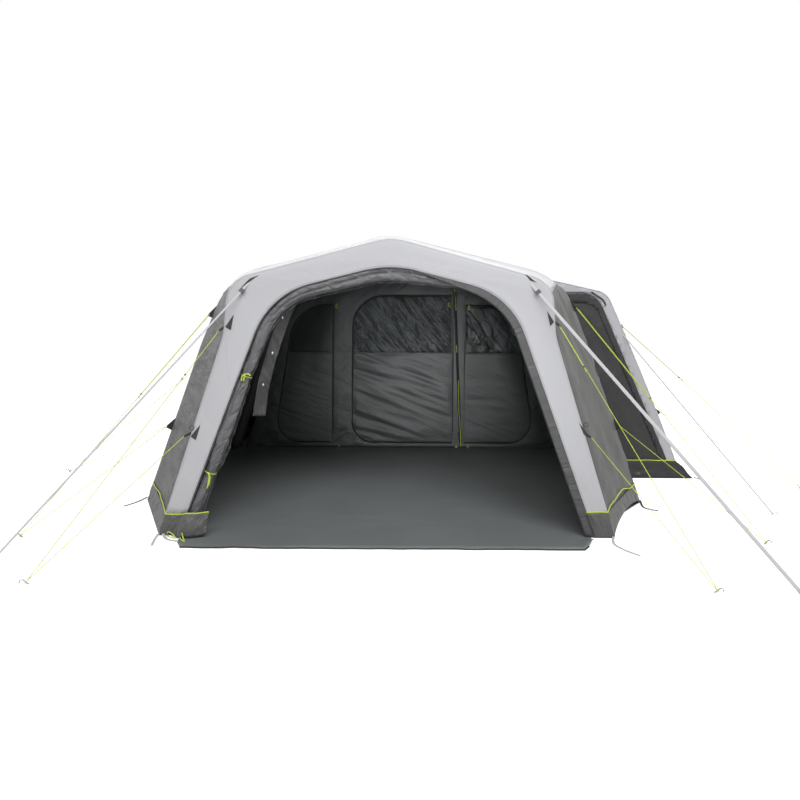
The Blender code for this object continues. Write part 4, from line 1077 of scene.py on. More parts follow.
@dataclass(frozen=True)
class Studio:
    """The camera, the lights, the pale surroundings and the floor."""

    image_size: float = 800.0
    focal_pixels: float = 542.13
    centre: Flat = (430.42, 310.68)
    camera_place: Space = (0.2939, -6.0802, 1.5782)
    roll: float = -0.0062
    sensor: float = 36.0
    sky: float = 0.42
    key_power: float = 1540.0
    fill_power: float = 830.0
    spot_power: float = 2500.0
    spot_angle: float = 13.0
    floor_reach: float = 60.0
    floor_glow: float = 0.74

    def link(self, name: str, data: bpy.types.ID, place: Space, turn: Sequence[float]) -> Piece:
        """Link an object at a place, turned.

        Args:
            name: name of the object.
            data: its lamp, camera or mesh.
            place: its place.
            turn: its turn round the three axes.

        Returns:
            The object.
        """
        made = bpy.data.objects.new(name, data)
        made.location, made.rotation_euler = place, turn
        bpy.context.scene.collection.objects.link(made)
        return made

    def camera(self) -> None:
        """Set the camera at the photograph's viewing angle."""
        data = bpy.data.cameras.new("camera")
        data.sensor_width = self.sensor
        data.lens = self.focal_pixels * self.sensor / self.image_size
        data.shift_x = 0.5 - self.centre[0] / self.image_size
        data.shift_y = self.centre[1] / self.image_size - 0.5
        data.clip_end = 200.0
        turn = (math.pi / 2, self.roll, 0)
        bpy.context.scene.camera = self.link("camera", data, self.camera_place, turn)

    def lamp(self, name: str, kind: str, place: Space, aim: Space, **settings: object) -> None:
        """Add a soft lamp.

        Args:
            name: its name.
            kind: AREA or SPOT.
            place: where it stands.
            aim: the point that it faces.
            settings: its power in watts and its size.
        """
        data = bpy.data.lights.new(name, kind)
        for key, value in settings.items():
            setattr(data, key, value)
        self.link(name, data, place, (Vector(aim) - Vector(place)).to_track_quat("-Z", "Y").to_euler())

    def surroundings(self) -> None:
        """Light the scene from all round, brighter from above, with a white background."""
        world = bpy.data.worlds.new("studio")
        world.use_nodes = True
        bpy.context.scene.world = world
        graph = Graph(world.node_tree)
        nodes = world.node_tree.nodes
        rise = graph.put("SeparateXYZ", "Z", {"Vector": graph.put("TexCoord", "Generated", {})})
        sky = graph.mix(rise, (0.52, 0.52, 0.53), (1.0, 1.0, 1.02))
        graph.feed(nodes["Background"], {"Color": sky, "Strength": self.sky})
        white = graph.put("Background", "Background", {"Color": (1, 1, 1, 1)})
        mixed = graph.seen(nodes["Background"].outputs["Background"], white,
                           ("Is Camera Ray", "Is Glossy Ray", "Is Transmission Ray"))
        graph.feed(nodes["World Output"], {"Surface": mixed})

    def floor(self) -> None:
        """Lay a plain white floor that keeps the tent's shadow."""
        mesh = bmesh.new()
        bmesh.ops.create_grid(mesh, x_segments=1, y_segments=1, size=self.floor_reach)
        bmesh.ops.translate(mesh, verts=mesh.verts, vec=(0, 0, -0.001))
        data = bpy.data.meshes.new("floor")
        mesh.to_mesh(data)
        mesh.free()
        graph = Surface("studio_floor")
        look = graph.done(Base_Color=(0.80, 0.80, 0.80, 1), Roughness=0.9, Specular_IOR_Level=0.0)
        data.materials.append(look)
        plain = graph.shader.outputs["BSDF"]
        glow = graph.put("Emission", "Emission", {"Strength": self.floor_glow})
        mixed = graph.seen(plain, graph.put("AddShader", "Shader", {0: plain, 1: glow}), ("Is Camera Ray",))
        graph.feed(graph.tree.nodes["Material Output"], {"Surface": mixed})
        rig.stage(self.link("floor", data, (0, 0, 0), (0, 0, 0)))

    def build(self) -> None:
        """Set up the whole studio."""
        bpy.context.scene.view_settings.view_transform = "Standard"
        self.camera()
        self.surroundings()
        panel = {"shape": "RECTANGLE", "size": 9.0, "size_y": 6.0}
        self.lamp("key", "AREA", (5.5, -10.8, 13.2), (0, -0.5, 0.9), energy=self.key_power, **panel)
        self.lamp("fill", "AREA", (-3.0, -12.8, 11.5), (0, 0.0, 0.9), energy=self.fill_power, **panel)
        self.lamp("doorway", "SPOT", (0.1, -9.6, 0.95), (0.20, 0.0, 0.82), energy=self.spot_power,
                  spot_size=math.radians(self.spot_angle), spot_blend=1.0, shadow_soft_size=0.9)
        self.floor()


@dataclass(frozen=True)
class CordSizes:
    """Sizes of the guylines and what they run through."""

    radius: float = 0.0025
    bend: float = 0.010
    bend_steps: int = 6
    guard: float = 0.030
    runner_tail: float = 0.030
    loop_height: float = 0.010
    tab_length: float = 0.055
    tab_base: float = 0.11
    tab_tip: float = 0.020
    strip_base: float = 0.026
    tab_setback: float = 0.006
    tab_pull_share: float = 2.0
    tab_hole_inset: float = 0.010
    tab_steps: int = 8
    peg_radius: float = 0.004
    peg_head: float = 0.030
    peg_hook: float = 0.016
    peg_hook_drop: float = 0.008


CORD = CordSizes()


def add_peg(name: str, middle: Vector, away: Vector, sideways: Vector, look: Look) -> None:
    """Add a hooked wire peg in place of its solid.

    Args:
        name: the solid's name.
        middle: point of the shank that the line bears on.
        away: the way that the hook points.
        sideways: the way across it.
        look: its material.
    """
    axis = sideways.cross(away).normalized()
    if axis.z < 0:
        axis = -axis
    foot = middle - axis * middle.z / axis.z
    head = middle + axis * CORD.peg_head
    crook = head + away * CORD.peg_hook
    bends = [foot, middle, head - axis * 0.005, head + away * 0.005, crook - away * 0.004,
             crook - axis * 0.004, crook - axis * CORD.peg_hook_drop]
    mesh = round_tube(smooth_points(bends, 6), CORD.peg_radius, 12)
    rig.replaces(add_piece(name + "_wire", mesh, look, slot="steel"), name)


@dataclass(frozen=True)
class Guyline:
    """One guyline: its place, its two tabs, its runner, its knot and its peg."""

    name: str
    side: int
    arch: str
    upper: float
    lower: float
    share: float
    peg: Flat

    def anchor(self) -> Vector:
        """The place where its lower loop bears on the peg."""
        return Vector((self.peg[0], FRONT_Y + self.peg[1], CORD.loop_height))

    def seat(self, height: float) -> tuple[Vector, Vector, Vector]:
        """Where a tab is sewn on.

        Args:
            height: height of the tab's middle.

        Returns:
            The middle of its base, the leg's direction up and the way out of the wall.
        """
        if self.arch == "annex":
            knee, above = annex_outline(FABRIC / 2)[ANNEX_KNEE:ANNEX_KNEE + 2]
            leg = (above - knee).normalized()
            place = annex_point(at_height(knee, above, height), ANNEX_BACK + FABRIC + CORD.tab_setback)
            return place, Vector((leg.x, 0, leg.y)), Vector((leg.y, 0, -leg.x))
        point, up = ARCHES[self.arch].leg_point(self.side, height, FABRIC / 2)
        flat = Vector((up.x, 0, up.z)).normalized()
        out = Vector((self.side * flat.z, 0, -self.side * flat.x))
        way = {"front": 1, "middle": -1, "inner": 0}[self.arch]
        flare = (MIDDLE_ARCH.base - FRONT_ARCH.base) / MIDDLE_BACK
        return point + Vector((self.side * flare, 1, 0)) * way * CORD.tab_setback, up, out

    def lean(self, height: float) -> tuple[Vector, Vector, Vector]:
        """A tab's base, its leg's direction and the way that its tip points."""
        seat, up, out = self.seat(height)
        return seat, up, (out + (self.anchor() - seat).normalized() * CORD.tab_pull_share).normalized()

    def facts(self) -> tuple[Vector, Vector, Vector, Vector, Vector]:
        """The line's fixed points and ways.

        Returns:
            The upper hole, the lower tip, the runner, the line's direction and the way across it.
        """
        seat, _, lean = self.lean(self.lower)
        lower_tip = seat + lean * CORD.tab_length
        seat, up, lean = self.lean(self.upper)
        upper_hole = seat + lean * (CORD.tab_length - CORD.tab_hole_inset)
        line = self.anchor() - upper_hole
        along = line.normalized()
        square = up.cross(lean) * self.side
        across = -(square - along * along.dot(square)).normalized()
        return upper_hole, lower_tip, upper_hole + line * self.share, along, across

    def loop_ways(self) -> tuple[Vector, Vector, Vector]:
        """The way back from the lower loop, the way that the loop points, and the way across it.

        Returns:
            The three ways.
        """
        _, lower, _, along, across = self.facts()
        back = (lower - self.anchor()).normalized()
        away = (along - back).normalized()
        return back, away, (away * away.dot(across) - across).normalized()

    def route(self) -> Points:
        """The cord's bends.

        Returns:
            Points from the runner round the upper tab, back, round the peg and up to the lower tab.
        """
        upper, lower, runner, along, across = self.facts()
        back, away, sideways = self.loop_ways()
        across, sideways = across * CORD.bend, sideways * CORD.bend
        turn = upper + along * CORD.bend
        near = runner + along * CORD.runner_tail
        guard = along * CORD.guard
        loop = self.anchor() - away * CORD.bend
        return ([near + across, runner + across, turn + guard + across]
                + around(turn, across, -along * CORD.bend, CORD.bend_steps, math.pi)
                + [turn + guard - across, runner - across, near - across, loop + sideways - guard]
                + around(loop, sideways, away * CORD.bend, CORD.bend_steps, math.pi)
                + [loop - sideways + back * CORD.guard, lower - back * CORD.radius])

    def knot(self, palette: Palette) -> Piece:
        """The stopper knot at the loose end below the runner.

        Args:
            palette: the finishes.

        Returns:
            The knot.
        """
        _, _, runner, along, across = self.facts()
        other = along.cross(across).normalized()
        middle = runner + along * (CORD.runner_tail + 0.004) + across * CORD.bend
        turns = []
        for angle in (4 * math.pi * step / 24 for step in range(25)):
            swing = 0.0042 + 0.0016 * math.cos(1.5 * angle)
            turns.append(middle + (across * math.cos(angle) + other * math.sin(angle)) * swing
                         + along * 0.0036 * math.sin(1.5 * angle))
        mesh = round_tube(turns, CORD.radius, 8)
        return add_piece("knot_" + self.name, mesh, palette.lime, slot="lime_cord")

    def build(self, palette: Palette) -> None:
        """Make the cord, its knot and its peg.

        Args:
            palette: the finishes.
        """
        line = smooth_points(self.route(), 3)[::-1]
        mesh = round_tube(line, CORD.radius, 8)
        piece = add_piece("cord_" + self.name, mesh, palette.lime, slot="lime_cord")
        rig.replaces(piece, "guyline_" + self.name)
        knot = self.knot(palette)
        _, away, sideways = self.loop_ways()
        peg = "peg_" + self.name
        shank = self.anchor() - away * (CORD.radius + GAP + CORD.peg_radius)
        add_peg(peg, shank, away, sideways, palette.steel)
        length = running_lengths(line)[-1]
        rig.cord(piece, exit=line[0], length=length, diameter=2 * CORD.radius, far_end="knot",
                stiffness="limp", lay="taut", path=line,
                with_pieces=[knot, frame["nodes"]["runner_" + self.name], peg + "_wire"])
        log.info("guyline %s: %.2f m", self.name, length)

    def tab_mesh(self, height: float) -> Mesh:
        """The sewn triangular tab at a height.

        Args:
            height: height of its middle.

        Returns:
            The tab as a flat sheet of webbing.
        """
        seat, up, lean = self.lean(height)
        tip = seat + lean * CORD.tab_length
        base = CORD.strip_base if self.arch == "front" else CORD.tab_base
        rows = []
        for step in range(CORD.tab_steps + 1):
            share = step / CORD.tab_steps
            side = up * (base + (CORD.tab_tip - base) * share) / 2
            middle = seat.lerp(tip, share) - lean * (0.006 if step == 0 else 0)
            rows.append([middle - side] + spread(middle - side, middle + side, CORD.tab_steps))
        return grid_mesh(rows)


GUYLINES = (
    Guyline("front_left", -1, "front", 1.45, 0.70, 0.21, (-2.010, -0.689)),
    Guyline("front_right", 1, "front", 1.50, 0.71, 0.19, (1.921, -0.737)),
    Guyline("middle_left", -1, "middle", 1.56, 0.63, 0.40, (-2.518, -0.057)),
    Guyline("middle_right", 1, "middle", 1.63, 0.65, 0.43, (2.594, -0.093)),
    Guyline("rear_left", -1, "inner", 1.60, 0.66, 0.36, (-3.173, 1.434)),
    Guyline("annex_right", 1, "annex", 1.46, 0.64, 0.33, (3.632, 1.091)),
)

ANNEX_KNEE = 4
ANNEX_SHOULDER = ANNEX_KNEE + 24
ANNEX_ROUNDING = 0.17
SOLID_APEX = 2.235
SOLID_SHOULDER = (1.385, 1.875)


def annex_outline(inset: float = 0.0, puff: float = 0.0) -> Points:
    """Outline of the annex in its own cross-section, from its foot to the main roof.

    Args:
        inset: distance inside the outer face.
        puff: how far the beam pushes the roof and the wall out between their ends.

    Returns:
        The points; the knee over the skirt is at ANNEX_KNEE, the shoulder's arc starts at ANNEX_SHOULDER.
    """
    start = SOLID_APEX - (SOLID_APEX - SOLID_SHOULDER[1]) * 1.20 / SOLID_SHOULDER[0] + FABRIC + 2 * GAP
    foot, knee, shoulder = Vector((2.80, 0)), Vector((2.638, SKIRT_HEIGHT)), Vector((1.955, 1.745))
    top = Vector((1.20, start))
    if inset:
        out, leg, roof = ((b - a).normalized() for a, b in ((foot, knee), (knee, shoulder), (shoulder, top)))
        lower, a, top = (p + Vector((-way.y, way.x)) * inset
                         for p, way in ((foot, out), (knee, leg), (top, roof)))
        shoulder = a + leg * ((top - a).cross(roof) / leg.cross(roof))
        knee = at_height(a, shoulder, SKIRT_HEIGHT)
        foot = lower - out * lower.y / out.y
    rounded = arc_points(knee, shoulder, top, ANNEX_ROUNDING - inset, 8)
    made = [foot] + spread(foot, knee, ANNEX_KNEE) + spread(knee, rounded[0], ANNEX_SHOULDER - ANNEX_KNEE)
    made += rounded[1:] + spread(rounded[-1], top, 10)
    if puff:
        count = len(made) - 1 - ANNEX_KNEE
        for index in range(ANNEX_KNEE + 1, len(made) - 1):
            swell = puff * math.sin(math.pi * ((index - ANNEX_KNEE) / count) ** 0.8)
            made[index] = made[index] + (made[index] - Vector((1.4, 0.6))).normalized() * swell
    return made


def annex_point(point: Vector, back: float) -> Vector:
    """A point of the annex's cross-section in space."""
    return Vector((point.x, FRONT_Y + back, point.y))


def cut_off(outline: Points, height: float) -> Points:
    """The part of a convex outline above a height.

    Args:
        outline: the outline in x and z.
        height: the height.

    Returns:
        The outline of the upper part.
    """
    made = []
    for a, b in zip(outline, outline[1:] + outline[:1]):
        if a.y >= height:
            made.append(a)
        if (a.y - height) * (b.y - height) < 0:
            made.append(a.lerp(b, (height - a.y) / (b.y - a.y)))
    return made


def cloth_plate(outlines: Sequence[Points], step: float, place: Callable[[float, float, float], Vector],
                folds: Sequence[Creases] = (), pin: float = 0.05, calm: Sequence[Points] = ()) -> Mesh:
    """A flat piece of cloth with folds pressed into it.

    Args:
        outlines: its outline, and one for each hole, in x and z.
        step: size of a cell.
        place: turns x, z and a height over the plane into a place.
        folds: the folds.
        pin: how far in from every edge the folds fade.
        calm: lines, in x and z, where the folds fade too.

    Returns:
        The mesh.
    """
    mesh = plate_mesh(outlines, step)
    flat = [[Vector((p.x, p.y, 0)) for p in outline] for outline in [*outlines, *calm]]
    for vert in mesh.verts:
        x, z = vert.co.x, vert.co.y
        rise = sum(fold.height(x, z) for fold in folds)
        if folds:
            rise *= eased(edge_distance(vert.co, flat) / pin)
        vert.co = place(x, z, rise)
    return mesh


@dataclass(frozen=True)
class Flysheet(Assembly):
    """The outer tent: front panel, roofs, side panels, rear wall, its vent, and their seams."""

    front_bulge: float = 0.008
    brow: float = 0.024
    roof_sag: float = 0.014
    rear_sag: float = 0.022
    side_sag: float = 0.012
    vent_width: float = 0.60
    vent_bottom: float = 1.02
    vent_top: float = 1.26
    flap_lap: float = 0.04

    def front_panel(self) -> None:
        """Make the pale arch around the doorway, drawn tight over the front beam."""
        shift = -FABRIC / 2 - HALF_GAP
        first, last = Arch.SKIRT, Arch.LAST - Arch.SKIRT
        edge, inside = (FRONT_ARCH.row(inset, 0, Arch.LAST, shift) for inset in (0.0, self.brow))
        seam = [a.lerp(b, self.brow_share(i)) for i, (a, b) in enumerate(zip(edge, inside))]
        grid = lofted([seam[first:last + 1], DOORWAY.row(0.0, first, last, shift)], [14])

        def bulge(u: float, v: float) -> float:
            """The front beam's roundness under the cloth."""
            return self.front_bulge * math.sin(math.pi * v ** 0.75) * min(1.0, 30 * u, 30 * (1 - u))

        grid = pressed(grid, [Creases(0.004, (0.9, 0.10), 3.1), Creases(0.002, (0.12, 0.2), 8.4)],
                       (0.1, 0.1, 0.03, 0.03), AHEAD, bulge)
        look = self.palette.light
        add_sheet("front_arch_cloth", grid_mesh(grid), look, ["front_panel"], slot="light_fabric")
        doorway = DOORWAY.row(0.0, first, last, shift - 0.0005)
        for name, path in (("front_seam", seam[first:last + 1]), ("doorway_seam", doorway)):
            seam_tube(name, path, look, 0.0024, "light_fabric")
        low, high = FRONT_ARCH.eave - 2, Arch.LAST - FRONT_ARCH.eave + 2
        crest, edge = (FRONT_ARCH.row(inset, low, high, back)
                       for inset, back in ((-0.004, 0.016), (0.004, -0.002)))
        grid = pressed(lofted([crest, edge, seam[low:high + 1]], [3, 3]),
                       [Creases(0.0025, (0.10, 0.05), 6.6)], (0.05, 0.05, 0.004, 0.004))
        add_sheet("front_brow_cloth", grid_mesh(grid), self.palette.brow, slot="light_fabric")

    def brow_share(self, index: int) -> float:
        """How much of the roof's rounded front edge shows at an index of the front arch."""
        return eased((min(index, Arch.LAST - index) - FRONT_ARCH.eave + 2) / 9)

    def door_strip(self) -> None:
        """Make the dark band with the door's zip behind the doorway's edge."""
        rows = []
        for inset in (-0.020, 0.012, 0.065):
            outline = DOORWAY.outline(inset)
            for end, beside in ((0, 1), (-1, -2)):
                share = 2 * FLOOR_SHEET / max(outline[beside].y, 1e-6)
                outline[end] = outline[end].lerp(outline[beside], share)
            rows.append([DOORWAY.place(p, HALF_GAP + FABRIC / 4) for p in outline])
        inner = [a.lerp(b, eased((a.x - 0.10) / 0.7)) for a, b in zip(rows[1], rows[2])]
        grid = pressed(lofted([rows[0], inner], [8]), [Creases(0.005, (0.16, 0.05), 5.5, 0.4, 0.4)],
                       (0.05, 0.05, 0.025, 0.004), AHEAD)
        add_sheet("door_zip_band", grid_mesh(grid), self.palette.dark, ["door_zip_strip"], thickness=0.0012)
        teeth = [p + AHEAD * 0.001 for p in inner[Arch.RIDGE + 10:-2]]
        seam_tube("door_zip_teeth", teeth, self.palette.zip, 0.0036)

    def roofs(self) -> None:
        """Make the pale roof before the middle arch and the one behind it."""
        rows = [even_points(arch.row(FABRIC / 2, arch.eave, Arch.LAST - arch.eave), 91)
                for arch in ARCHES.values()]
        front, rear = lofted(rows[:2], [16], self.roof_sag), lofted(rows[1:], [32, 40], self.rear_sag)
        front_folds = [Creases(0.005, (0.30, 0.9), 1.3)]
        rear_folds = [Creases(0.007, (0.42, 1.3), 2.3), Creases(0.003, (0.15, 0.5), 4.4)]
        for name, grid, folds in (("front", front, front_folds), ("rear", rear, rear_folds)):
            grid = pressed(grid, folds, (0.12, 0.12, 0.10, 0.10))
            add_sheet(name + "_roof_cloth", grid_mesh(grid), self.palette.roof, ["roof_" + name],
                      slot="light_fabric")
        for name in ("middle", "inner", "rear"):
            path = ARCHES[name].row(-0.0004, ARCHES[name].eave, Arch.LAST - ARCHES[name].eave)
            seam_tube("roof_seam_" + name, path, self.palette.roof, 0.0026, "light_fabric")

    def side_row(self, side: int, arch: Arch) -> Points:
        """Even points on one side of an arch, from the skirt to the eave."""
        low, high = (Arch.SKIRT, arch.eave) if side < 0 else (Arch.LAST - arch.eave, Arch.LAST - Arch.SKIRT)
        return even_points(arch.row(FABRIC / 2, low, high), 61)

    def sides(self) -> None:
        """Make the side panels with their folds and their seams."""
        level = Creases(0.018, (0.080, 0.46), 11.0, ridge_share=0.7)
        broad = Creases(0.014, (0.45, 0.7), 14.0)
        upright = Creases(0.018, (0.60, 0.17), 21.0, 0.30, 0.5)
        crossing = Creases(0.009, (0.26, 0.09), 24.0, -0.35, 0.6)
        dark, painted_lit_dark = self.palette.dark, self.palette.side
        for name, side, arches, steps, folds, look in (
                ("front_left", -1, (FRONT_ARCH, MIDDLE_ARCH), [22], [level], dark),
                ("rear_left", -1, (MIDDLE_ARCH, INNER_ARCH, REAR_ARCH), [36, 44], [broad, level], dark),
                # The front right panel takes the dark fabric's lighter copy, painted light on that side.
                ("front_right", 1, (FRONT_ARCH, MIDDLE_ARCH, INNER_ARCH), [22, 18], [upright, crossing],
                 painted_lit_dark),
                ("rear_right", 1, (INNER_ARCH, REAR_ARCH), [44], [broad, level], dark)):
            rows = [self.side_row(side, arch) for arch in arches]
            if name == "front_right":
                stop = FRONT_Y + ANNEX_BACK + FABRIC
                rows[-1] = [a.lerp(b, (stop - a.y) / (b.y - a.y)) for a, b in zip(rows[-2], rows[-1])]
            grid = pressed(lofted(rows, steps, self.side_sag), folds, (0.06, 0.06, 0.07, 0.07))
            add_sheet("side_cloth_" + name, grid_mesh(grid), look, ["side_panel_" + name])
            for index, row in enumerate(rows[1:-1]):
                seam_tube(f"side_seam_{name}_{index}", row, look, 0.0034)
        for side, name in ((-1, "left"), (1, "right")):
            path = [arch.place(arch.outline(-0.0004)[arch.eave if side < 0 else Arch.LAST - arch.eave])
                    for arch in ARCHES.values()]
            points = path[:1] + [p for a, b in zip(path, path[1:]) for p in spread(a, b, 12)]
            seam_tube("eave_seam_" + name, points, self.palette.roof, 0.0030, "light_fabric")

    def guyline_tabs(self) -> None:
        """Make the triangular webbing tabs that the guylines pull on."""
        for guyline in GUYLINES:
            tabs = joined(guyline.tab_mesh(height) for height in (guyline.upper, guyline.lower))
            add_piece("guyline_tabs_" + guyline.name, tabs, self.palette.black_webbing, 0.0024)

    def rear(self) -> None:
        """Make the leaning rear wall, its vent's mesh and the vent's flap."""
        def opening(lap: float) -> Points:
            """The vent's outline, let out by a lap."""
            wide, low, top = self.vent_width / 2 + lap, self.vent_bottom - lap, self.vent_top + lap
            return [Vector(p) for p in ((-wide, low), (wide, low), (wide, top), (-wide, top))]

        def place(x: float, z: float, rise: float) -> Vector:
            """A place on the rear wall."""
            return REAR_ARCH.place(Vector((x, z)), HALF_GAP + FABRIC / 2 + rise)

        def flap_place(x: float, z: float, rise: float) -> Vector:
            """A place on the flap, which only stands outward."""
            return place(x, z, FABRIC + GAP + max(rise, 0.0))

        outline = REAR_ARCH.outline()[Arch.SKIRT:Arch.LAST - Arch.SKIRT + 1]
        folds = [Creases(0.010, (0.5, 0.4), 31.0, 0.6), Creases(0.004, (0.12, 0.3), 33.0, -0.7)]
        mesh = cloth_plate([outline, opening(0.0)], 0.05, place, folds, 0.10)
        add_sheet("rear_wall_cloth", mesh, self.palette.dark, ["rear_panel"])
        mesh = cloth_plate([opening(0.0)], 0.03, place)
        add_sheet("rear_vent_mesh", mesh, self.palette.zip, thickness=0.0006)
        folds = [Creases(0.004, (0.15, 0.12), 35.0)]
        mesh = cloth_plate([opening(self.flap_lap)], 0.03, flap_place, folds, 0.04)
        node = "rear_vent_flap"
        add_sheet(node + "_cloth", mesh, self.palette.dark, [node], "hung", body=node)

    def build(self) -> None:
        """Make the flysheet."""
        self.front_panel()
        self.door_strip()
        self.roofs()
        self.sides()
        self.guyline_tabs()
        self.rear()


@dataclass(frozen=True)
class Skirts(Assembly):
    """The low dark skirts round the ground, their lime piping and their pegged corner straps."""

    steps: int = 9
    cell: float = 0.045
    piping: float = 0.0042
    strap_reach: float = 0.11 * math.sqrt(0.5)
    strap_width: float = 0.018
    kink: tuple[float, ...] = (0.0, 0.020, 0.026, 0.030, 0.036, 0.042, 0.048, 0.022, 0.0, -0.002, 0.0)
    lifts: tuple[float, ...] = (0.030, 0.030, 0.014, 0.0)
    lift_out: Space = (0.003, -0.003, 0)

    def stop(self, arch: Arch, side: int, shift: float = 0.0, inset: float = FABRIC / 2) -> Points:
        """The bottom and the top of a skirt at an arch's leg."""
        half = arch.half(inset)
        return [arch.place(Vector((side * half[i].x, half[i].y)), shift) for i in (0, Arch.SKIRT)]

    def strip(self, name: str, stops: Sequence[Points], node: str, look: Look, seed: float, rise: float = 0.0,
              kink: float = 0.0) -> None:
        """Make one skirt through its stops.

        Args:
            name: name of the piece.
            stops: bottom and top points.
            node: the solid that it stands for.
            look: its material.
            seed: number that its folds start from.
            rise: how high its hem is drawn up between the two stops after the first.
            kink: how much of the piping's kink shows there.
        """
        columns, line = [], []
        for index, (near, far) in enumerate(zip(stops, stops[1:])):
            count = max(2, round((far[0] - near[0]).length / self.cell))
            for share in (step / count for step in range(count + (index == len(stops) - 2))):
                low, high = near[0].lerp(far[0], share), near[1].lerp(far[1], share)
                up = (high - low).normalized()
                drawn = rise * (4 * share * (1 - share)) ** 0.7 if index == 1 else 0.0
                columns.append((low + up * (drawn + 0.001), high))
                jog = 0.006 * noise.noise(high * 9.0)
                jog += kink * share_at(self.kink, share) if index == 1 else 0.0
                line.append(high + Vector((high.x, high.y * 0.2, 0)).normalized() * 0.003 + up * jog)
        folds = [Creases(0.014, (0.16, 0.20), seed, 0.5, 0.65), Creases(0.006, (0.05, 0.10), seed + 3, -0.4)]
        self.hang(name, columns, folds, (0.03, 0.03, 0.06, 0.10), look, [node])
        seam_tube(name + "_piping", line, self.palette.lime, self.piping, "lime_cord")

    def hang(self, name: str, columns: Sequence[tuple[Vector, Vector]], folds: Sequence[Creases],
             pins: Sequence[float], look: Look, nodes: Sequence[str] = (),
             core: Vector | None = None) -> None:
        """Hang a low strip of cloth.

        Args:
            name: name of the piece.
            columns: bottom and top points.
            folds: its folds.
            pins: how far in from its four edges they fade.
            look: its material.
            nodes: solids that it stands for.
            core: the way outward, or None.
        """
        grid = [[low.lerp(high, i / self.steps) for low, high in columns] for i in range(self.steps + 1)]
        grid = pressed(grid, folds, pins, core)
        for point in (point for row in grid for point in row):
            point.z = max(point.z, 0.001)
        add_sheet(name, grid_mesh(grid), look, nodes, "hung")

    def corner_strap(self, name: str, places: Sequence[Flat], look: Look) -> None:
        """Make the short webbing strap that pegs a corner down.

        Args:
            name: name of the piece.
            places: where on the ground it runs, from the corner on.
            look: its material.
        """
        heights = [0.014] + [0.004] * (len(places) - 1)
        path = smooth_points([Vector((x, y, z)) for (x, y), z in zip(places, heights)], 8)
        mesh = ribbon_mesh(path, lambda index: way_at(path, index).cross(UP), self.strap_width, 3)
        add_piece("corner_strap_" + name, mesh, look, 0.0018)

    def short_strap(self, name: str, corner: Vector, side: int, way: int) -> None:
        """Make a hidden corner's strap, which runs off at half a right angle.

        Args:
            name: name of the strap.
            corner: where it hangs from.
            side: -1 left, 1 right.
            way: -1 ahead, 1 behind.
        """
        x, y = corner.xy
        places = ((x, y), (x + side * self.strap_reach, y + way * self.strap_reach))
        self.corner_strap(name, places, self.palette.black_webbing)

    def build(self) -> None:
        """Make the skirts of the main tent."""
        ahead = -HALF_GAP - FABRIC / 2
        look = self.palette.skirt
        main = [self.stop(DOORWAY, -1, ahead, 0.0), self.stop(FRONT_ARCH, -1, ahead),
                self.stop(MIDDLE_ARCH, -1), self.stop(INNER_ARCH, -1), self.stop(REAR_ARCH, -1, -ahead),
                self.stop(REAR_ARCH, 1, -ahead), self.stop(INNER_ARCH, 1)]
        self.strip("main_skirt_cloth", main, "mud_skirt_main", look, 41.0, kink=0.5)
        outline = main_outline_at_annex(FABRIC / 2)
        at_annex = [annex_point(outline[Arch.LAST - i], ANNEX_BACK + FABRIC) for i in (0, Arch.SKIRT)]
        right = [self.stop(DOORWAY, 1, ahead, 0.0), self.stop(FRONT_ARCH, 1, ahead),
                 self.stop(MIDDLE_ARCH, 1), at_annex]
        out = Vector(self.lift_out)
        right = [(low, high + (high - low).normalized() * lift + out * bool(lift))
                 for (low, high), lift in zip(right, self.lifts)]
        right[0] = tuple(p - ACROSS * 0.012 for p in right[0])
        self.strip("right_skirt_cloth", right, "mud_skirt_right", look, 47.0, 0.070, 1.0)
        for side, name in ((-1, "rear_left"), (1, "rear_right")):
            self.short_strap(name, REAR_ARCH.place(Vector((side * REAR_ARCH.base, 0)), FABRIC), side, 1)
        for name, *places in CORNER_STRAPS:
            look = self.palette.black_webbing if name.startswith("middle") else self.palette.webbing
            self.corner_strap(name, places, look)
        for number, loop in enumerate(CORNER_LOOPS):
            path = smooth_points([Vector(p) for p in loop], 6)
            seam_tube(f"corner_loop_{number}", path, self.palette.lime, 0.0034, "lime_cord")


CORNER_STRAPS = (
    ("middle_left", (-2.050, -1.570), (-2.090, -1.660), (-2.143, -1.757)),
    ("middle_right", (2.045, -1.570), (2.030, -1.730), (2.111, -1.784)),
    ("front_left_0", (-1.590, -2.306), (-1.580, -2.380), (-1.551, -2.472)),
    ("front_left_1", (-1.560, -2.306), (-1.500, -2.370), (-1.408, -2.404)),
    ("front_right", (1.578, -2.306), (1.551, -2.393), (1.592, -2.500), (1.660, -2.579)),
)
CORNER_LOOPS = (
    ((-1.530, -2.310, 0.012), (-1.515, -2.325, 0.034), (-1.470, -2.352, 0.030), (-1.446, -2.364, 0.010),
     (-1.480, -2.350, 0.008), (-1.520, -2.330, 0.010)),
    ((-1.450, -2.306, 0.020), (-1.425, -2.330, 0.046), (-1.385, -2.385, 0.030), (-1.359, -2.421, 0.009),
     (-1.395, -2.390, 0.012), (-1.435, -2.335, 0.016)),
)


def main_outline_at_annex(inset: float = 0.0) -> Points:
    """The main tent's outline in the plane of the annex's front."""
    share = (ANNEX_BACK - MIDDLE_BACK) / (INNER_BACK - MIDDLE_BACK)
    return [a.lerp(b, share) for a, b in zip(MIDDLE_ARCH.outline(inset), INNER_ARCH.outline(inset))]


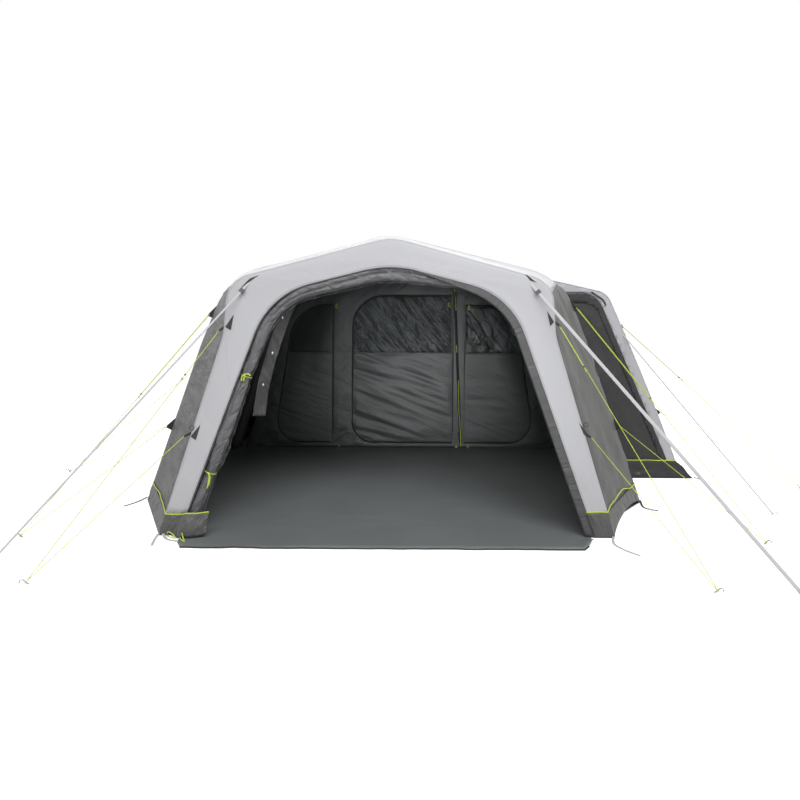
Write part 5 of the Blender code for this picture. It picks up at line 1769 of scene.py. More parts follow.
@dataclass(frozen=True)
class Annex(Assembly):
    """The side annex: roof, outer wall, front frame, zipped door and skirt."""

    door_bottom: float = 0.175
    door_top: float = 1.66
    door_top_clearance: float = 0.0018
    door_rounding: float = 0.16
    band_rounding: float = 0.24
    frame_width: float = 0.125
    pale_width: float = 0.072
    inner_strip: float = 0.055
    skirt_top: float = 0.172
    dark_top: float = 1.765
    puff: float = 0.024
    inner_end: float = 1.20

    def front_polygon(self) -> Points:
        """Outline of the front wall: its own outline outside, the main tent's inside.

        Returns:
            The outline's points in x and z.
        """
        inside = main_outline_at_annex(-2 * GAP)[:Arch.LAST - Arch.SKIRT + 1]
        outer = annex_outline(0.0, self.puff)[ANNEX_KNEE:]
        return cut_off(outer + [p for p in inside if p.x > self.inner_end], self.skirt_top)

    def door_polygon(self, clearance: float, top: float, radius: float, width: float) -> Points:
        """Outline of the door, drawn in by a clearance.

        Args:
            clearance: distance inside the doorway at the sides.
            top: height of its top.
            radius: radius of the doorway's outer top corner.
            width: width of the frame outside it.

        Returns:
            The outline in x and z.
        """
        inside = main_outline_at_annex(-self.inner_strip)[::-1]
        wide = annex_outline(width)
        side = Vector((clearance, 0))
        heights = (top, self.door_bottom + clearance)
        upper_in, lower_in = (at_height(inside[Arch.SKIRT], inside[Arch.SKIRT + Arch.LEG], height) + side
                              for height in heights)
        upper_out, lower_out = (at_height(wide[ANNEX_KNEE], wide[ANNEX_SHOULDER], height) - side
                                for height in heights)
        rounded = arc_points(lower_out, upper_out, upper_in, radius - clearance, 8)
        return [lower_in, lower_out] + rounded + [upper_in]

    def place(self, x: float, z: float, rise: float) -> Vector:
        """A place on the front wall."""
        return Vector((x, FRONT_Y + ANNEX_BACK + FABRIC / 2 - rise, z))

    def front(self) -> None:
        """Make the pale frame and the dark door with its zip."""
        hole = [Vector((p.x, max(p.y, self.skirt_top + 0.0012)))
                for p in self.door_polygon(0.0, self.dark_top, self.band_rounding, self.pale_width)]
        folds = [Creases(0.004, (0.2, 0.15), 51.0)]
        mesh = cloth_plate([self.front_polygon(), hole], 0.04, self.place, folds)
        add_sheet("annex_frame_cloth", mesh, self.palette.light, ["annex_front_frame"], slot="light_fabric")
        doorway = self.door_polygon(0.0, self.door_top, self.door_rounding, self.frame_width)
        mesh = cloth_plate([hole, doorway], 0.04, self.place)
        add_sheet("annex_doorway_band", mesh, self.palette.annex, thickness=0.0012)
        door = self.door_polygon(2 * GAP, self.door_top - self.door_top_clearance, self.door_rounding,
                                 self.frame_width)
        folds = [Creases(0.012, (0.9, 0.16), 53.0, -1.0, 0.6), Creases(0.010, (0.22, 0.5), 55.0, 0.5)]
        mesh = cloth_plate([door], 0.03, self.place, folds, 0.10)
        add_sheet("annex_door_cloth", mesh, self.palette.annex, ["annex_door"], body="annex_door")
        path = even_points([self.place(p.x, p.y, 0.002) for p in door[1:]], 60)
        seam_tube("annex_door_zip", path, self.palette.zip, 0.0030, body="annex_door")

    def shell(self) -> None:
        """Make the roof and the outer wall, which runs round the rear corner."""
        near, far = ANNEX_BACK + FABRIC + GAP, INNER_BACK - FABRIC - 2 * GAP
        outline = annex_outline(FABRIC / 2, self.puff)
        under = outline[-1] + Vector((-0.12, 0.026))
        rows = [[annex_point(p, back) for p in outline[ANNEX_SHOULDER:] + [under]] for back in (near, far)]
        grid = pressed(lofted(rows, [22], 0.012), [Creases(0.006, (0.3, 0.5), 57.0)], [0.04] * 4)
        roof = self.palette.roof
        add_sheet("annex_roof_cloth", grid_mesh(grid), roof, ["annex_roof"], slot="light_fabric")
        rear = INNER_BACK - HALF_GAP - FABRIC / 2
        leg = [at_height(outline[ANNEX_KNEE], outline[ANNEX_KNEE + 1], self.skirt_top)]
        leg += outline[ANNEX_KNEE + 1:ANNEX_SHOULDER + 1]
        grid = []
        for point in leg:
            front, corner, inner = (annex_point(p, back) for p, back in (
                (point, near), (point, rear), (self.main_side(point.y), rear)))
            grid.append([front] + spread(front, corner, 22) + spread(corner, inner, 14))
        grid = pressed(grid, [Creases(0.009, (0.6, 0.14), 59.0)], [0.05] * 4, Vector((1, 0.4, 0)))
        add_sheet("annex_wall_cloth", grid_mesh(grid), roof, ["annex_wall"])
        top = leg[-1].y
        gable = outline[ANNEX_SHOULDER:] + [p for p in INNER_ARCH.outline(-2 * GAP)
                                            if p.x > self.inner_end and p.y > top] + [self.main_side(top)]
        mesh = cloth_plate([gable], 0.05, lambda x, z, rise: annex_point(Vector((x, z)), rear))
        add_sheet("annex_gable_cloth", mesh, roof)
        edge = [annex_point(p, ANNEX_BACK) for p in annex_outline(0.0, self.puff)[ANNEX_KNEE + 1:-2]]
        seam_tube("annex_front_seam", edge, roof, 0.0040, "light_fabric")

    def main_side(self, height: float) -> Vector:
        """The main tent's wall at a height, in x and z, in the plane of the annex's rear.

        Args:
            height: the height.

        Returns:
            The wall's point.
        """
        outline = INNER_ARCH.half(-2 * GAP)
        stretches = zip(outline, outline[1:])
        return next(at_height(low, high, height) for low, high in stretches if high.y >= height)

    def skirt(self) -> None:
        """Make the flared skirt round the annex's front, outer side and rear."""
        outline = annex_outline(FABRIC / 2)[:ANNEX_KNEE + 2]
        near, far = (plane[::-1][:Arch.SKIRT + 2] for plane in (main_outline_at_annex(-2 * GAP),
                                                                INNER_ARCH.outline(-2 * GAP)))
        front, rear = ANNEX_BACK + FABRIC / 2, INNER_BACK - FABRIC / 2
        stops = [(annex_point(plane[0], back), annex_point(at_height(*plane[-2:], self.skirt_top), back))
                 for plane, back in ((near, front), (outline, front), (outline, rear), (far, rear))]
        skirts = Skirts(self.palette)
        skirts.strip("annex_skirt_cloth", stops, "annex_skirt", self.palette.annex, 61.0)
        skirts.short_strap("annex", annex_point(annex_outline()[0], ANNEX_BACK), 1, -1)

    def build(self) -> None:
        """Make the annex."""
        self.front()
        self.shell()
        self.skirt()


@dataclass(frozen=True)
class Groundsheet(Assembly):
    """The floor of the living area with its tongue before the doorway."""

    front: float = 0.198
    front_half: float = 1.353
    neck_half: float = 1.42
    neck_back: float = 0.0006
    fold: float = 0.045
    fold_start: float = 1.335
    fold_width: float = 0.035
    hem_inset: float = 0.11

    def outline(self) -> Points:
        """Its outline in x and the distance back from the front arch's feet.

        Returns:
            The outline's points.
        """
        inset = FABRIC + GAP
        front, middle, inner, rear = (at_height(*arch.corners(inset)[:2], FLOOR_SHEET).x
                                      for arch in ARCHES.values())
        outer = annex_outline()
        annex_x = outer[0].x - (outer[0].x - outer[ANNEX_KNEE].x) * FLOOR_SHEET / SKIRT_HEIGHT - 2 * inset
        wing_front, wing_rear = ANNEX_BACK + FABRIC + GAP, INNER_BACK - FABRIC - 2 * GAP
        wing_x = middle + (inner - middle) * (ANNEX_BACK - MIDDLE_BACK) / (INNER_BACK - MIDDLE_BACK)
        shared = [(self.front_half, -self.front), (self.neck_half, -self.front / 2),
                  (self.neck_half, self.neck_back), (front, self.neck_back)]
        rear_edge = MAIN_LENGTH - 0.30 * FLOOR_SHEET - GAP
        right = [((front + middle) / 2 - self.hem_inset, MIDDLE_BACK / 2), (middle, MIDDLE_BACK),
                 (wing_x, wing_front), (annex_x, wing_front), (annex_x, wing_rear), (inner, wing_rear),
                 (inner, INNER_BACK), (rear, rear_edge)]
        left = [(-rear, rear_edge), (-inner, INNER_BACK), (-middle, MIDDLE_BACK)]
        return [Vector(p) for p in shared + right + left + [(-x, back) for x, back in shared[::-1]]]

    def place(self, x: float, back: float, rise: float) -> Vector:
        """A place on the floor, raised at the wavy front hem and the turned-up corner.

        Args:
            x: distance from the middle line.
            back: distance back from the front arch's feet.
            rise: height over the floor.

        Returns:
            The place.
        """
        lift = 0.0
        if back < 0.05:
            lift = 0.006 * eased((0.05 - back) / 0.2) * max(0.0, noise.noise(Vector((x * 4.5, 0.3, 2.0))))
            lift += self.fold * eased((x - self.fold_start) / self.fold_width) * eased(-back / 0.16)
        return Vector((x, FRONT_Y + back, FLOOR_SHEET / 2 + max(rise, -0.001) + lift))

    def build(self) -> None:
        """Lay the groundsheet and its hem."""
        mesh = cloth_plate([self.outline()], 0.06, self.place, [Creases(0.0022, (0.35, 0.5), 71.0)], 0.12)
        add_sheet("groundsheet_cloth", mesh, self.palette.ground, ["groundsheet"], "laid", 0.0022,
                  slot="ground_fabric")
        hem = []
        for x in (self.front_half * (2 * step / 90 - 1) for step in range(91)):
            jog = Vector((0, -0.002, 0.002 + 0.003 * noise.noise(Vector((x * 9, 1.7, 0.0)))))
            hem.append(self.place(x, -self.front, 0.0) + jog)
        seam_tube("groundsheet_hem", hem, self.palette.zip, 0.0055, "ground_fabric")


@dataclass(frozen=True)
class RolledDoor(Assembly):
    """The front door rolled up beside and above the doorway, its ties, its hem and its inner flap."""

    width: float = 0.058
    depth: float = 0.046
    inset: float = 0.046
    end_x: float = 0.70
    turns: float = 2.4
    rings: int = 220
    groove: float = 0.50
    shares: tuple[float, ...] = (0.95, 0.80, 1.18, 0.90, 0.80, 0.80, 1.08, 1.28, 1.14, 0.74, 0.14)
    tie_shares: tuple[float, ...] = (0.125, 0.342, 0.60, 0.82)
    tie_ends: tuple[tuple[Flat, ...], ...] = (
        ((0.006, 0.008), (0.008, -0.03), (0.001, -0.07), (-0.006, -0.105)),
        ((-0.004, 0.006), (0.012, -0.018), (0.012, -0.05), (0.004, -0.085)),
        ((-0.020, -0.030), (-0.014, 0.002), (0.004, 0.014), (0.030, 0.017), (0.044, 0.004)),
        ((-0.006, -0.034), (0.0, -0.008), (0.006, 0.010)),
    )
    flap_line: tuple[Flat, ...] = ((-0.745, 1.64), (-0.825, 1.42), (-0.895, 1.18), (-0.935, 0.98),
                                   (-0.955, 0.80))
    toggles: tuple[Flat, ...] = ((-0.865, 1.26), (-0.925, 1.03), (-0.80, 1.52))

    def path(self) -> Points:
        """The middle line, from the left foot over the top to its thin end.

        Returns:
            The line's points.
        """
        points = []
        for inner, outer in zip(DOORWAY.outline(self.inset), DOORWAY.outline()):
            if inner.x < self.end_x and inner.y > 0.02:
                place = inner.lerp(outer, 0.85 * eased((inner.x - 0.05) / 0.6))
                points.append(DOORWAY.place(place, HALF_GAP + FABRIC + self.depth * 0.85))
        return even_points(smooth_points(points, 3), self.rings)

    def ring(self, path: Points, index: int) -> tuple[Vector, Vector, float]:
        """The way across, the way toward the viewer and the size of the roll at a ring.

        Args:
            path: the middle line.
            index: number of the ring.

        Returns:
            The two ways and the size.
        """
        along = way_at(path, index)
        across = along.cross(Vector((0, -1, 0.10))).normalized()
        return across, across.cross(along).normalized(), share_at(self.shares, index / (len(path) - 1))

    def wrap(self, path: Points, index: int, angle: float, spread_out: float) -> Vector:
        """A point of the spiral that the rolled cloth makes.

        Args:
            path: the middle line.
            index: the ring.
            angle: angle round the middle line, which grows from turn to turn.
            spread_out: how far out the turn lies, from 0 to 1.

        Returns:
            The point.
        """
        across, forward, size = self.ring(path, index)
        share = index / (len(path) - 1)
        tied = min(abs(share - tie) for tie in self.tie_shares[:2])
        waist = 1 - 0.22 * math.exp(-(tied / 0.016) ** 2)
        front = (angle + math.pi / 2) % (2 * math.pi) - math.pi
        top = eased((share - 0.40) / 0.15)
        drift = 0.35 * math.sin(9 * share) + 0.25 * (1 - top)
        cleft = (0.12 + (self.groove - 0.12) * top) * math.exp(-((front - drift) / 0.22) ** 2)
        c, s = math.cos(angle), math.sin(angle)
        along = share * 3.6
        lobes = 0.07 * math.cos(3 * angle + 14 * share)
        lobes += 0.16 * noise.noise(Vector((c * 1.3, s * 1.3, along * 2.6)))
        crest = 1 - 2.6 * abs(noise.noise(Vector((c * 1.9 + along * 3.0, s * 1.9, along * 7.5 + 4.0))))
        fine = 1 - 2.6 * abs(noise.noise(Vector((c * 4.0, s * 4.0 + along * 6.0, along * 17.0))))
        lobes += 0.125 * crest + 0.060 * fine - cleft
        reach = (0.30 + 0.66 * spread_out) * (1 + lobes) * waist * size
        return path[index] + across * c * reach * self.width + forward * s * reach * self.depth

    def build(self) -> None:
        """Make the roll as one spiral of cloth, its ties, its inner flap and its hem."""
        path = self.path()
        steps = round(self.turns * 34)
        grid = [[self.wrap(path, index, 3.4 + 2 * math.pi * self.turns * step / steps, step / steps)
                 for step in range(steps + 1)] for index in range(self.rings)]
        for point in (point for row in grid for point in row):
            point.z = max(point.z, 0.006)
        add_sheet("rolled_door_cloth", grid_mesh(grid), self.palette.roll, ["rolled_front_door"], "gathered",
                  0.0012)
        for number in range(len(self.tie_shares)):
            self.tie(path, number)
        self.flap()
        self.hem()

    def tie(self, path: Points, number: int) -> None:
        """Make a tie round the roll, with a lime bow on the two at the side.

        Args:
            path: the roll's middle line.
            number: its number.
        """
        index = round(self.tie_shares[number] * (len(path) - 1))
        across, forward, size = self.ring(path, index)
        size *= 0.80 if number < 2 else 0.97
        band = around(path[index], across * self.width * size, forward * self.depth * size, 32)
        name = f"roll_tie_{number}"
        if number > 1:
            seam_tube(name, band, self.palette.roll)
            return
        front = path[index] + forward * (self.depth * size + 0.006)
        meshes = [round_tube(band, 0.0034)]
        for end in self.tie_ends[2 * number:2 * number + 2]:
            bends = [front + Vector((x, -0.004, z)) for x, z in end]
            meshes.append(round_tube(smooth_points(bends, 6), 0.0046))
        add_piece(name, joined(meshes), self.palette.lime, slot="lime_cord")

    def hem(self) -> None:
        """Make the door's own skirt, which hangs below the roll, with its lime piping."""
        columns = []
        for share in (step / 24 for step in range(25)):
            x = -1.462 + 0.212 * share
            y = FRONT_Y - 0.006 - 0.045 * eased(share / 0.3) + 0.03 * eased((share - 0.6) / 0.4)
            columns.append((Vector((x - 0.030 + 0.03 * share, y - 0.014, 0.018 * share + 0.004)),
                            Vector((x + 0.012, y + 0.014, SKIRT_HEIGHT + 0.024 * eased(share / 0.35)))))
        Skirts(self.palette).hang("door_hem_cloth", columns, [Creases(0.014, (0.035, 0.12), 87.0, 0.5, 0.6)],
                                  (0.01, 0.01, 0.0, 0.05), self.palette.skirt, core=AHEAD)
        seam_tube("door_hem_piping", [high + AHEAD * 0.003 for _, high in columns], self.palette.lime, 0.0042,
                  "lime_cord")

    def flap(self) -> None:
        """Make the strip of cloth that hangs down inside the roll, with small pale toggles."""
        path = smooth_points([Vector((x, FRONT_Y + 0.10 * z + 0.10, z)) for x, z in self.flap_line], 12)
        fold = Creases(0.014, (0.03, 0.35), 83.0, 0.1, 0.6)
        mesh = ribbon_mesh(path, lambda index: Vector((1, 0.30 + 0.35 * math.sin(index * 0.21), 0)), 0.090,
                           12)
        for vert in mesh.verts:
            vert.co.y += fold.height(vert.co.x + 0.4 * vert.co.z, vert.co.z)
        # The flap is the door's cloth but takes the annex door's much darker finish, which paints in the shade inside
        # the roll.
        add_sheet("roll_inner_flap", mesh, self.palette.annex, held="hung", thickness=0.0012)
        for number, (x, z) in enumerate(self.toggles):
            mesh = bmesh.new()
            bmesh.ops.create_uvsphere(mesh, u_segments=10, v_segments=7, radius=0.0065)
            bmesh.ops.scale(mesh, vec=(1, 0.7, 1.5), verts=mesh.verts)
            bmesh.ops.translate(mesh, vec=(x, FRONT_Y + 0.10 * z + 0.078, z), verts=mesh.verts)
            add_piece(f"roll_toggle_{number}", mesh, self.palette.white_plastic, slot="black_plastic")


@dataclass(frozen=True)
class InnerDoor:
    """One zipped leaf of the inner tent's front wall with the film of its window."""

    name: str
    hinge: float
    edge: float
    upper: float
    top: float
    radii: Flat
    film: str
    crinkles: tuple[Creases, ...]
    creases: tuple[Creases, ...]
    sill: float = 0.055

    def polygon(self, clearance: float) -> Points:
        """Outline of the leaf, drawn in by a clearance.

        Args:
            clearance: distance inside the doorway.

        Returns:
            The outline in x and z.
        """
        side = Vector((math.copysign(clearance, self.edge - self.hinge), 0))
        low, high = self.sill + clearance, self.top - clearance
        hinge_low, hinge_high = (Vector((self.hinge, z)) + side for z in (low, high))
        free_low, free_high = Vector((self.edge, low)) - side, Vector((self.upper, high)) - side
        lower, upper = (radius - clearance for radius in self.radii)
        return ([hinge_low] + arc_points(hinge_low, free_low, free_high, lower, 10)
                + arc_points(free_low, free_high, hinge_high, upper, 14) + [hinge_high])


INNER_DOORS = (
    InnerDoor("left", -0.83, -1.50, -1.27, 1.65, (0.26, 0.45), "blind", (Creases(0.003, (0.5, 0.5), 101.0),),
              (Creases(0.004, (0.4, 0.6), 91.0),)),
    InnerDoor("centre", 0.555, -0.605, -0.605, 1.755, (0.25, 0.38), "film",
              (Creases(0.008, (0.045, 0.40), 103.0, 0.64, 0.75), Creases(0.010, (0.18, 0.40), 104.0, 0.6)),
              (Creases(0.016, (0.105, 0.95), 93.0, 1.25, 0.8), Creases(0.010, (0.5, 0.4), 94.0))),
    InnerDoor("right", 0.685, 1.50, 1.27, 1.65, (0.26, 0.45), "calm_film",
              (Creases(0.014, (0.16, 0.36), 105.0, 0.5, 0.7), Creases(0.005, (0.05, 0.2), 106.0, -0.4)),
              (Creases(0.006, (0.075, 0.6), 95.0, 1.57, 0.6), Creases(0.010, (0.4, 0.5), 96.0))),
)


@dataclass(frozen=True)
class InnerTent(Assembly):
    """The dark sleeping tent: front wall, three leaves with windows, its shell, zips and ties."""

    seam_height: float = 1.085
    window_inset: float = 0.020
    lift: float = 0.0046
    lime_tapes: tuple[Flat, ...] = ((1.826, 1.584), (1.182, 1.101), (0.779, 0.02))
    ties: tuple[Flat, ...] = ((-0.783, 1.655), (0.508, 1.677), (0.737, 1.645), (-0.748, 0.034), (0.601, 0.03),
                              (0.733, 0.03))

    def place(self, x: float, z: float, rise: float) -> Vector:
        """A place on the front wall, raised toward the doorway."""
        return Vector((x, FRONT_Y + BEDROOM_BACK + FABRIC / 2 - rise, z))

    def zip_place(self, z: float) -> Vector:
        """A place on the upright zip in x and z; it leans a little."""
        return Vector((0.575 + 0.072 * (1.77 - z) / 1.71, z))

    def raised(self, outline: Points) -> Points:
        """An outline with its feet on the groundsheet."""
        return [Vector((p.x, max(p.y, self.lift))) for p in outline]

    def sheet(self, name: str, mesh: Mesh, nodes: Sequence[str] = (), **settings: object) -> None:
        """Add a sheet of the inner tent's own cloth."""
        add_sheet(name, mesh, self.palette.inner, nodes, slot="inner_fabric", **settings)

    def wall(self) -> None:
        """Make the front wall round the leaves."""
        outlines = [self.raised(BEDROOM_FRONT.outline())] + [door.polygon(0.0) for door in INNER_DOORS]
        folds = [Creases(0.011, (0.045, 0.30), 97.0, -0.9, 0.7), Creases(0.008, (0.4, 0.3), 98.0)]
        zip_line = [self.zip_place(1.85), self.zip_place(0.0)]
        zip_line += [Vector((SLIDER_X, 0.0)), Vector((SLIDER_X, 1.85))]
        mesh = cloth_plate(outlines, 0.028, self.place, folds, 0.06, [zip_line])
        self.sheet("inner_front_cloth", mesh, ["inner_tent_front_wall"])

    def door(self, door: InnerDoor) -> None:
        """Make one leaf with its window and its zip, all turning together.

        Args:
            door: the leaf.
        """
        body = "inner_door_" + door.name
        window = cut_off(door.polygon(self.window_inset), self.seam_height + 0.012)
        mesh = cloth_plate([door.polygon(2 * GAP), window], 0.026, self.place, door.creases, 0.06)
        self.sheet(body + "_cloth", mesh, [body], body=body)
        mesh = cloth_plate([window], 0.014, self.place, door.crinkles, 0.035)
        add_sheet(body + "_window", mesh, getattr(self.palette, door.film), thickness=0.0008, body=body,
                  slot="inner_fabric")
        tape = even_points([self.place(p.x, p.y, 0.003) for p in door.polygon(0.0095)], 130)
        middle = sum(tape, Vector()) / len(tape)
        band = [p.x for p in cut_off(door.polygon(0.012), self.seam_height)]
        seam = [self.place(x, self.seam_height, 0.002) for x in (min(band), max(band))]
        flat = ribbon_mesh(tape, lambda index: (tape[index] - middle) * Vector((1, 0, 1)), 0.015)
        level = ribbon_mesh(even_points(seam, 30), lambda index: UP, 0.014, 1)
        for name, mesh, look, thickness in (("_zip_tape", flat, self.palette.zip, 0.001),
                                            ("_zip_teeth", round_tube(tape, 0.0048), self.palette.zip, 0.0),
                                            ("_seam", level, self.palette.inner, 0.001)):
            add_piece(body + name, mesh, look, thickness, body=body, slot="inner_fabric")

    def shell(self) -> None:
        """Make the sides and the roof, the floor and the rear wall."""
        rows = [[arch.place(p, shift) for p in self.raised(arch.outline(FABRIC / 2))]
                for arch, shift in ((BEDROOM_FRONT, FABRIC + GAP), (BEDROOM_REAR, -FABRIC / 2))]
        grid = pressed(lofted(rows, [36], 0.012), [Creases(0.012, (0.5, 0.35), 111.0)],
                       (0.05, 0.05, 0.03, 0.03))
        self.sheet("inner_shell_cloth", grid_mesh(grid), ["inner_tent_body"])

        def rear_place(x: float, z: float, rise: float) -> Vector:
            """A place on the rear wall."""
            return BEDROOM_REAR.place(Vector((x, z)), -FABRIC / 2 + rise)

        rear = self.raised(BEDROOM_REAR.outline(FABRIC / 2))
        mesh = cloth_plate([rear], 0.05, rear_place, [Creases(0.012, (0.4, 0.4), 113.0)], 0.06)
        self.sheet("inner_rear_cloth", mesh)
        grid = lofted([[row[0].lerp(row[-1], column / 24) for column in range(25)] for row in rows], [20])
        for point in (point for row in grid for point in row):
            point.z = self.lift + FABRIC / 2
        self.sheet("inner_floor_cloth", grid_mesh(grid), held="laid")

    def trims(self) -> None:
        """Make the upright zip with its lime tape, the lime ties and the ring of cord."""
        line = [self.place(*self.zip_place(1.79 - 1.73 * step / 50), 0.004) for step in range(51)]
        for name, mesh, thickness in (("tape", ribbon_mesh(line, lambda index: ACROSS, 0.030), 0.0012),
                                      ("teeth", round_tube([p + AHEAD * 0.002 for p in line], 0.0030), 0.0)):
            add_piece("upright_zip_" + name, mesh, self.palette.zip, thickness, slot="inner_fabric")
        lime = self.palette.lime
        for number, (top, low) in enumerate(self.lime_tapes):
            steps = max(4, round((top - low) * 22))
            tape = [self.place(*self.zip_place(top + (low - top) * step / steps), 0.0085)
                    for step in range(steps + 1)]
            wave = [p + ACROSS * 0.004 * math.sin(9 * p.z) for p in tape]
            mesh = ribbon_mesh(wave, lambda index: ACROSS, 0.006)
            add_piece(f"upright_zip_lime_{number}", mesh, lime, 0.0012, slot="lime_cord")
        for number, (x, z) in enumerate(self.ties):
            drop = 0.055 if z > 1 else 0.022
            loop = [self.place(x + 0.010 * math.sin(math.pi * step / 5),
                               z - drop * math.sin(math.pi * step / 10),
                               0.010 + 0.004 * math.sin(step)) for step in range(11)]
            seam_tube(f"inner_tie_{number}", smooth_points(loop, 2), lime, 0.0034, "lime_cord")
        ring = around(self.place(1.287, 1.373, 0.012), ACROSS * 0.058, UP * 0.080, 40)
        seam_tube("hanging_ring", ring, self.palette.webbing, 0.0032, "grey_webbing")

    def build(self) -> None:
        """Make the inner tent."""
        self.wall()
        for door in INNER_DOORS:
            self.door(door)
        self.shell()
        self.trims()


@dataclass(frozen=True)
class AirBeam:
    """One inflated beam with its welded valve."""

    name: str
    shift: float
    inset: float
    radius: float = 0.060
    sides: int = 20
    rest: float = 0.014
    foot_share: float = 0.012
    valve_height: float = 0.42
    roof_end: float = 1.54

    def path(self) -> Points:
        """The beam's middle line from foot to foot.

        Returns:
            The line's points.
        """
        if self.name == "annex":
            _, *outline = annex_outline(self.inset)[ANNEX_KNEE - 1:]
            line = [at_height(*outline[:2], self.rest)] + [p for p in outline[1:] if p.x > self.roof_end]
            return [annex_point(p, ANNEX_BACK + FABRIC + self.inset) for p in line]
        arch = ARCHES[self.name]
        outline = arch.outline(self.inset)
        ends = [at_height(*pair, self.rest) for pair in (outline[:2], outline[:-3:-1])]
        return [arch.place(p, self.shift) for p in ends[:1] + outline[2:-2] + ends[1:]]

    def valve(self, path: Points) -> list[Mesh]:
        """The valve's flange and neck, facing into the tent.

        Args:
            path: the beam's middle line.

        Returns:
            The meshes.
        """
        along = (path[6] - path[0]).normalized()
        centre = path[0] + along * (self.valve_height - path[0].z) / along.z
        way = Vector((0, -1 if self.name == "rear" else 1, 0))
        facing = (way - along * way.dot(along)).normalized()
        meshes = []
        for radius, low, high in ((0.017, -0.003, 0.004), (0.013, 0.003, 0.014)):
            line = [centre + facing * (self.radius + reach) for reach in (low, (low + high) / 2, high)]
            meshes.append(round_tube(line, radius, 28))
        return meshes

    def reach(self, share: float, angle: float) -> float:
        """The beam's radius, which narrows to a rounded foot at each end.

        Args:
            share: how far along the beam, from 0 to 1.
            angle: angle round it.

        Returns:
            The radius.
        """
        near = min(share, 1 - share) / self.foot_share
        size = self.radius * (1.0 if near >= 1 else math.sqrt(max(1 - (1 - near) ** 2, 0.05)))
        return size * (1 + 0.004 * math.cos(9 * angle) * noise.noise(Vector((share * 40, angle, 3.0))))

    def build(self, palette: Palette) -> None:
        """Make the beam with its valve.

        Args:
            palette: the finishes.
        """
        path = even_points(self.path(), 150)
        mesh = tube_mesh(path, self.reach, self.sides, Vector((0, 1, 0)))
        for vert in mesh.verts:
            vert.co.z = max(vert.co.z, 0.006)
        sleeve = add_piece("beam_" + self.name, mesh, palette.beam, slot="beam_fabric")
        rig.replaces(sleeve, "air_beam_" + self.name)
        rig.padded(sleeve, fill=1.0)
        add_piece("valve_" + self.name, joined(self.valve(path)), palette.plastic, slot="black_plastic")


AIR_BEAMS = (AirBeam("front", 0.0671, 0.0671), AirBeam("middle", 0.0, 0.0796), AirBeam("inner", 0.0, 0.0671),
             AirBeam("rear", -0.0671, 0.0671), AirBeam("annex", 0.0, 0.0671))


@dataclass(frozen=True)
class Strap:
    """A webbing strap drawn tight between the tent and the ground."""

    node: str
    upper: Space
    lower: Space
    width: float
    facing: Space
    thickness: float = 0.0018

    def ways(self) -> tuple[Vector, Vector, Vector]:
        """The strap's direction, the way across it and the way square to it.

        Returns:
            The ways.
        """
        along = (Vector(self.lower) - Vector(self.upper)).normalized()
        across = along.cross(Vector(self.facing)).normalized()
        return along, across, across.cross(along).normalized()

    def build(self, palette: Palette, with_pieces: Sequence[object] = ()) -> None:
        """Make the strap and declare its length.

        Args:
            palette: the finishes.
            with_pieces: pieces that are fastened to it.
        """
        _, across, _ = self.ways()
        path = [Vector(self.upper)] + spread(Vector(self.upper), Vector(self.lower), 60)
        made = add_piece(self.node + "_band", ribbon_mesh(path, lambda index: across, self.width, 4),
                         palette.webbing, self.thickness, slot="grey_webbing")
        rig.replaces(made, self.node)
        length = running_lengths(path)[-1]
        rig.cord(made, exit=path[0], length=length, diameter=self.width, far_end="bare", stiffness="medium",
                lay="taut", path=path, with_pieces=list(with_pieces))
        log.info("%s: %.2f m", self.node, length)


STORM_STRAPS = (
    Strap("storm_strap_left", (-1.015, -2.1267, 1.79), (-2.303, -3.008, 0.0125), 0.013, (0, -1, 0.10)),
    Strap("storm_strap_right", (1.015, -2.1267, 1.79), (2.374, -3.064, 0.0125), 0.023, (0, -1, 0.10)),
)
THIN_STRAP = Strap("annex_strap", (2.1245, -0.932, 1.3622), (2.977, -1.844, 0.010), 0.010, (0, -1, 0))


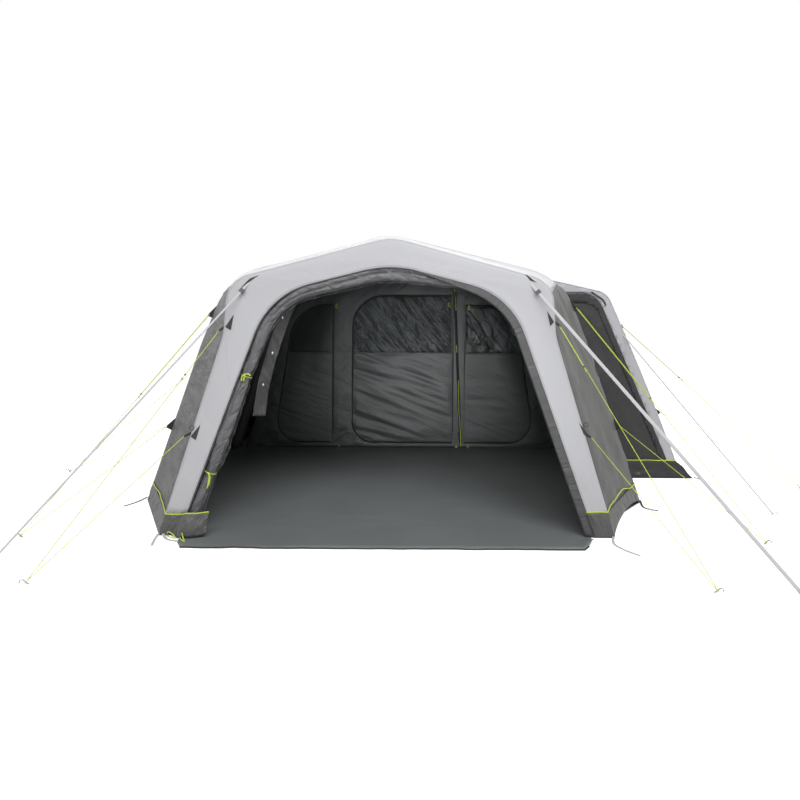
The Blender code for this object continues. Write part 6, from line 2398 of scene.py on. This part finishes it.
@dataclass(frozen=True)
class Patches(Assembly):
    """The dark webbing triangles sewn on the pale front panel, and its two rings."""

    CORNERS = (
        ("upper_left", (-1.128, 1.541), (-1.145, 1.428), (-1.188, 1.452)),
        ("upper_right", (1.138, 1.582), (1.160, 1.471), (1.189, 1.503)),
        ("lower_left", (-1.333, 0.759), (-1.359, 0.653), (-1.400, 0.676)),
        ("lower_right", (1.352, 0.792), (1.389, 0.703), (1.423, 0.702)),
        ("strap_left", (-0.958, 1.831), (-1.085, 1.735), (-1.025, 1.803)),
        ("strap_right", (0.976, 1.861), (1.066, 1.787), (1.018, 1.803)),
    )
    RINGS = (("left", (-1.392, -2.240, 0.740)), ("right", (1.402, -2.236, 0.776)))
    ANNEX_CORNER = ((1.818, -0.941, 1.765), (1.880, -0.941, 1.725), (1.931, -0.941, 1.688),
                    (1.959, -0.941, 1.641))

    def build(self, panel: Piece) -> None:
        """Lay each triangle on the panel's front.

        Args:
            panel: the front panel's sheet.
        """
        black = self.palette.black_webbing
        for name, *corners in self.CORNERS:
            mesh = plate_mesh([[Vector(c) for c in corners]], 0.012)
            for vert in mesh.verts:
                x, z = vert.co.x, vert.co.y
                hit, where, _, _ = panel.ray_cast(Vector((x, -4.0, z)), -AHEAD)
                vert.co = Vector((x, (where.y if hit else FRONT_Y + 0.10 * z) - 0.0022, z))
            add_piece("patch_" + name, mesh, black, 0.0014, smooth=None)
        for name, middle in self.RINGS:
            ring = around(Vector(middle), ACROSS * 0.016, UP * 0.016, 24)
            seam_tube("tab_ring_" + name, ring, self.palette.plastic, 0.0026, "black_plastic")
        path = smooth_points([Vector(p) for p in self.ANNEX_CORNER], 6)
        mesh = ribbon_mesh(path, lambda index: Vector((0.55, 0, 0.83)), 0.014)
        add_piece("patch_annex_corner", mesh, black, 0.0014)


def dress_solids(look: Look) -> None:
    """Give the solids that stay in sight their finish.

    Args:
        look: the material.
    """
    for name, node in frame["nodes"].items():
        if name.startswith(("runner_", "valve_cap_", "strap_buckle_", "zip_slider")):
            for index in range(len(node.data.materials)):
                node.data.materials[index] = look


def main() -> None:
    """Build every part of the tent in order; each piece is logged as it is added."""
    logging.basicConfig(level=logging.INFO, format="%(message)s")
    palette = Palette()
    Studio().build()
    for guyline in GUYLINES:
        guyline.build(palette)
    for side, strap in zip(("left", "right"), STORM_STRAPS):
        strap.build(palette, [frame["nodes"]["strap_buckle_" + side]])
    along, _, normal = THIN_STRAP.ways()
    lower = Vector(THIN_STRAP.lower)
    add_peg("peg_annex_strap", lower + along * (GAP + CORD.peg_radius), along, normal, palette.steel)
    THIN_STRAP.build(palette, ["peg_annex_strap_wire"])
    for part in (Flysheet, Skirts, Annex, Groundsheet, RolledDoor, InnerTent):
        part(palette).build()
    for beam in AIR_BEAMS:
        beam.build(palette)
    bpy.context.view_layer.update()
    Patches(palette).build(bpy.data.objects["front_arch_cloth"])
    dress_solids(palette.plastic)


if __name__ == "__main__":
    main()
    visual_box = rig.bounds()
    with open("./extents.json", "w") as out:
        json.dump({"cad": [list(map(float, c)) for c in cad_box],
                   "visual": [list(map(float, c)) for c in visual_box]}, out)
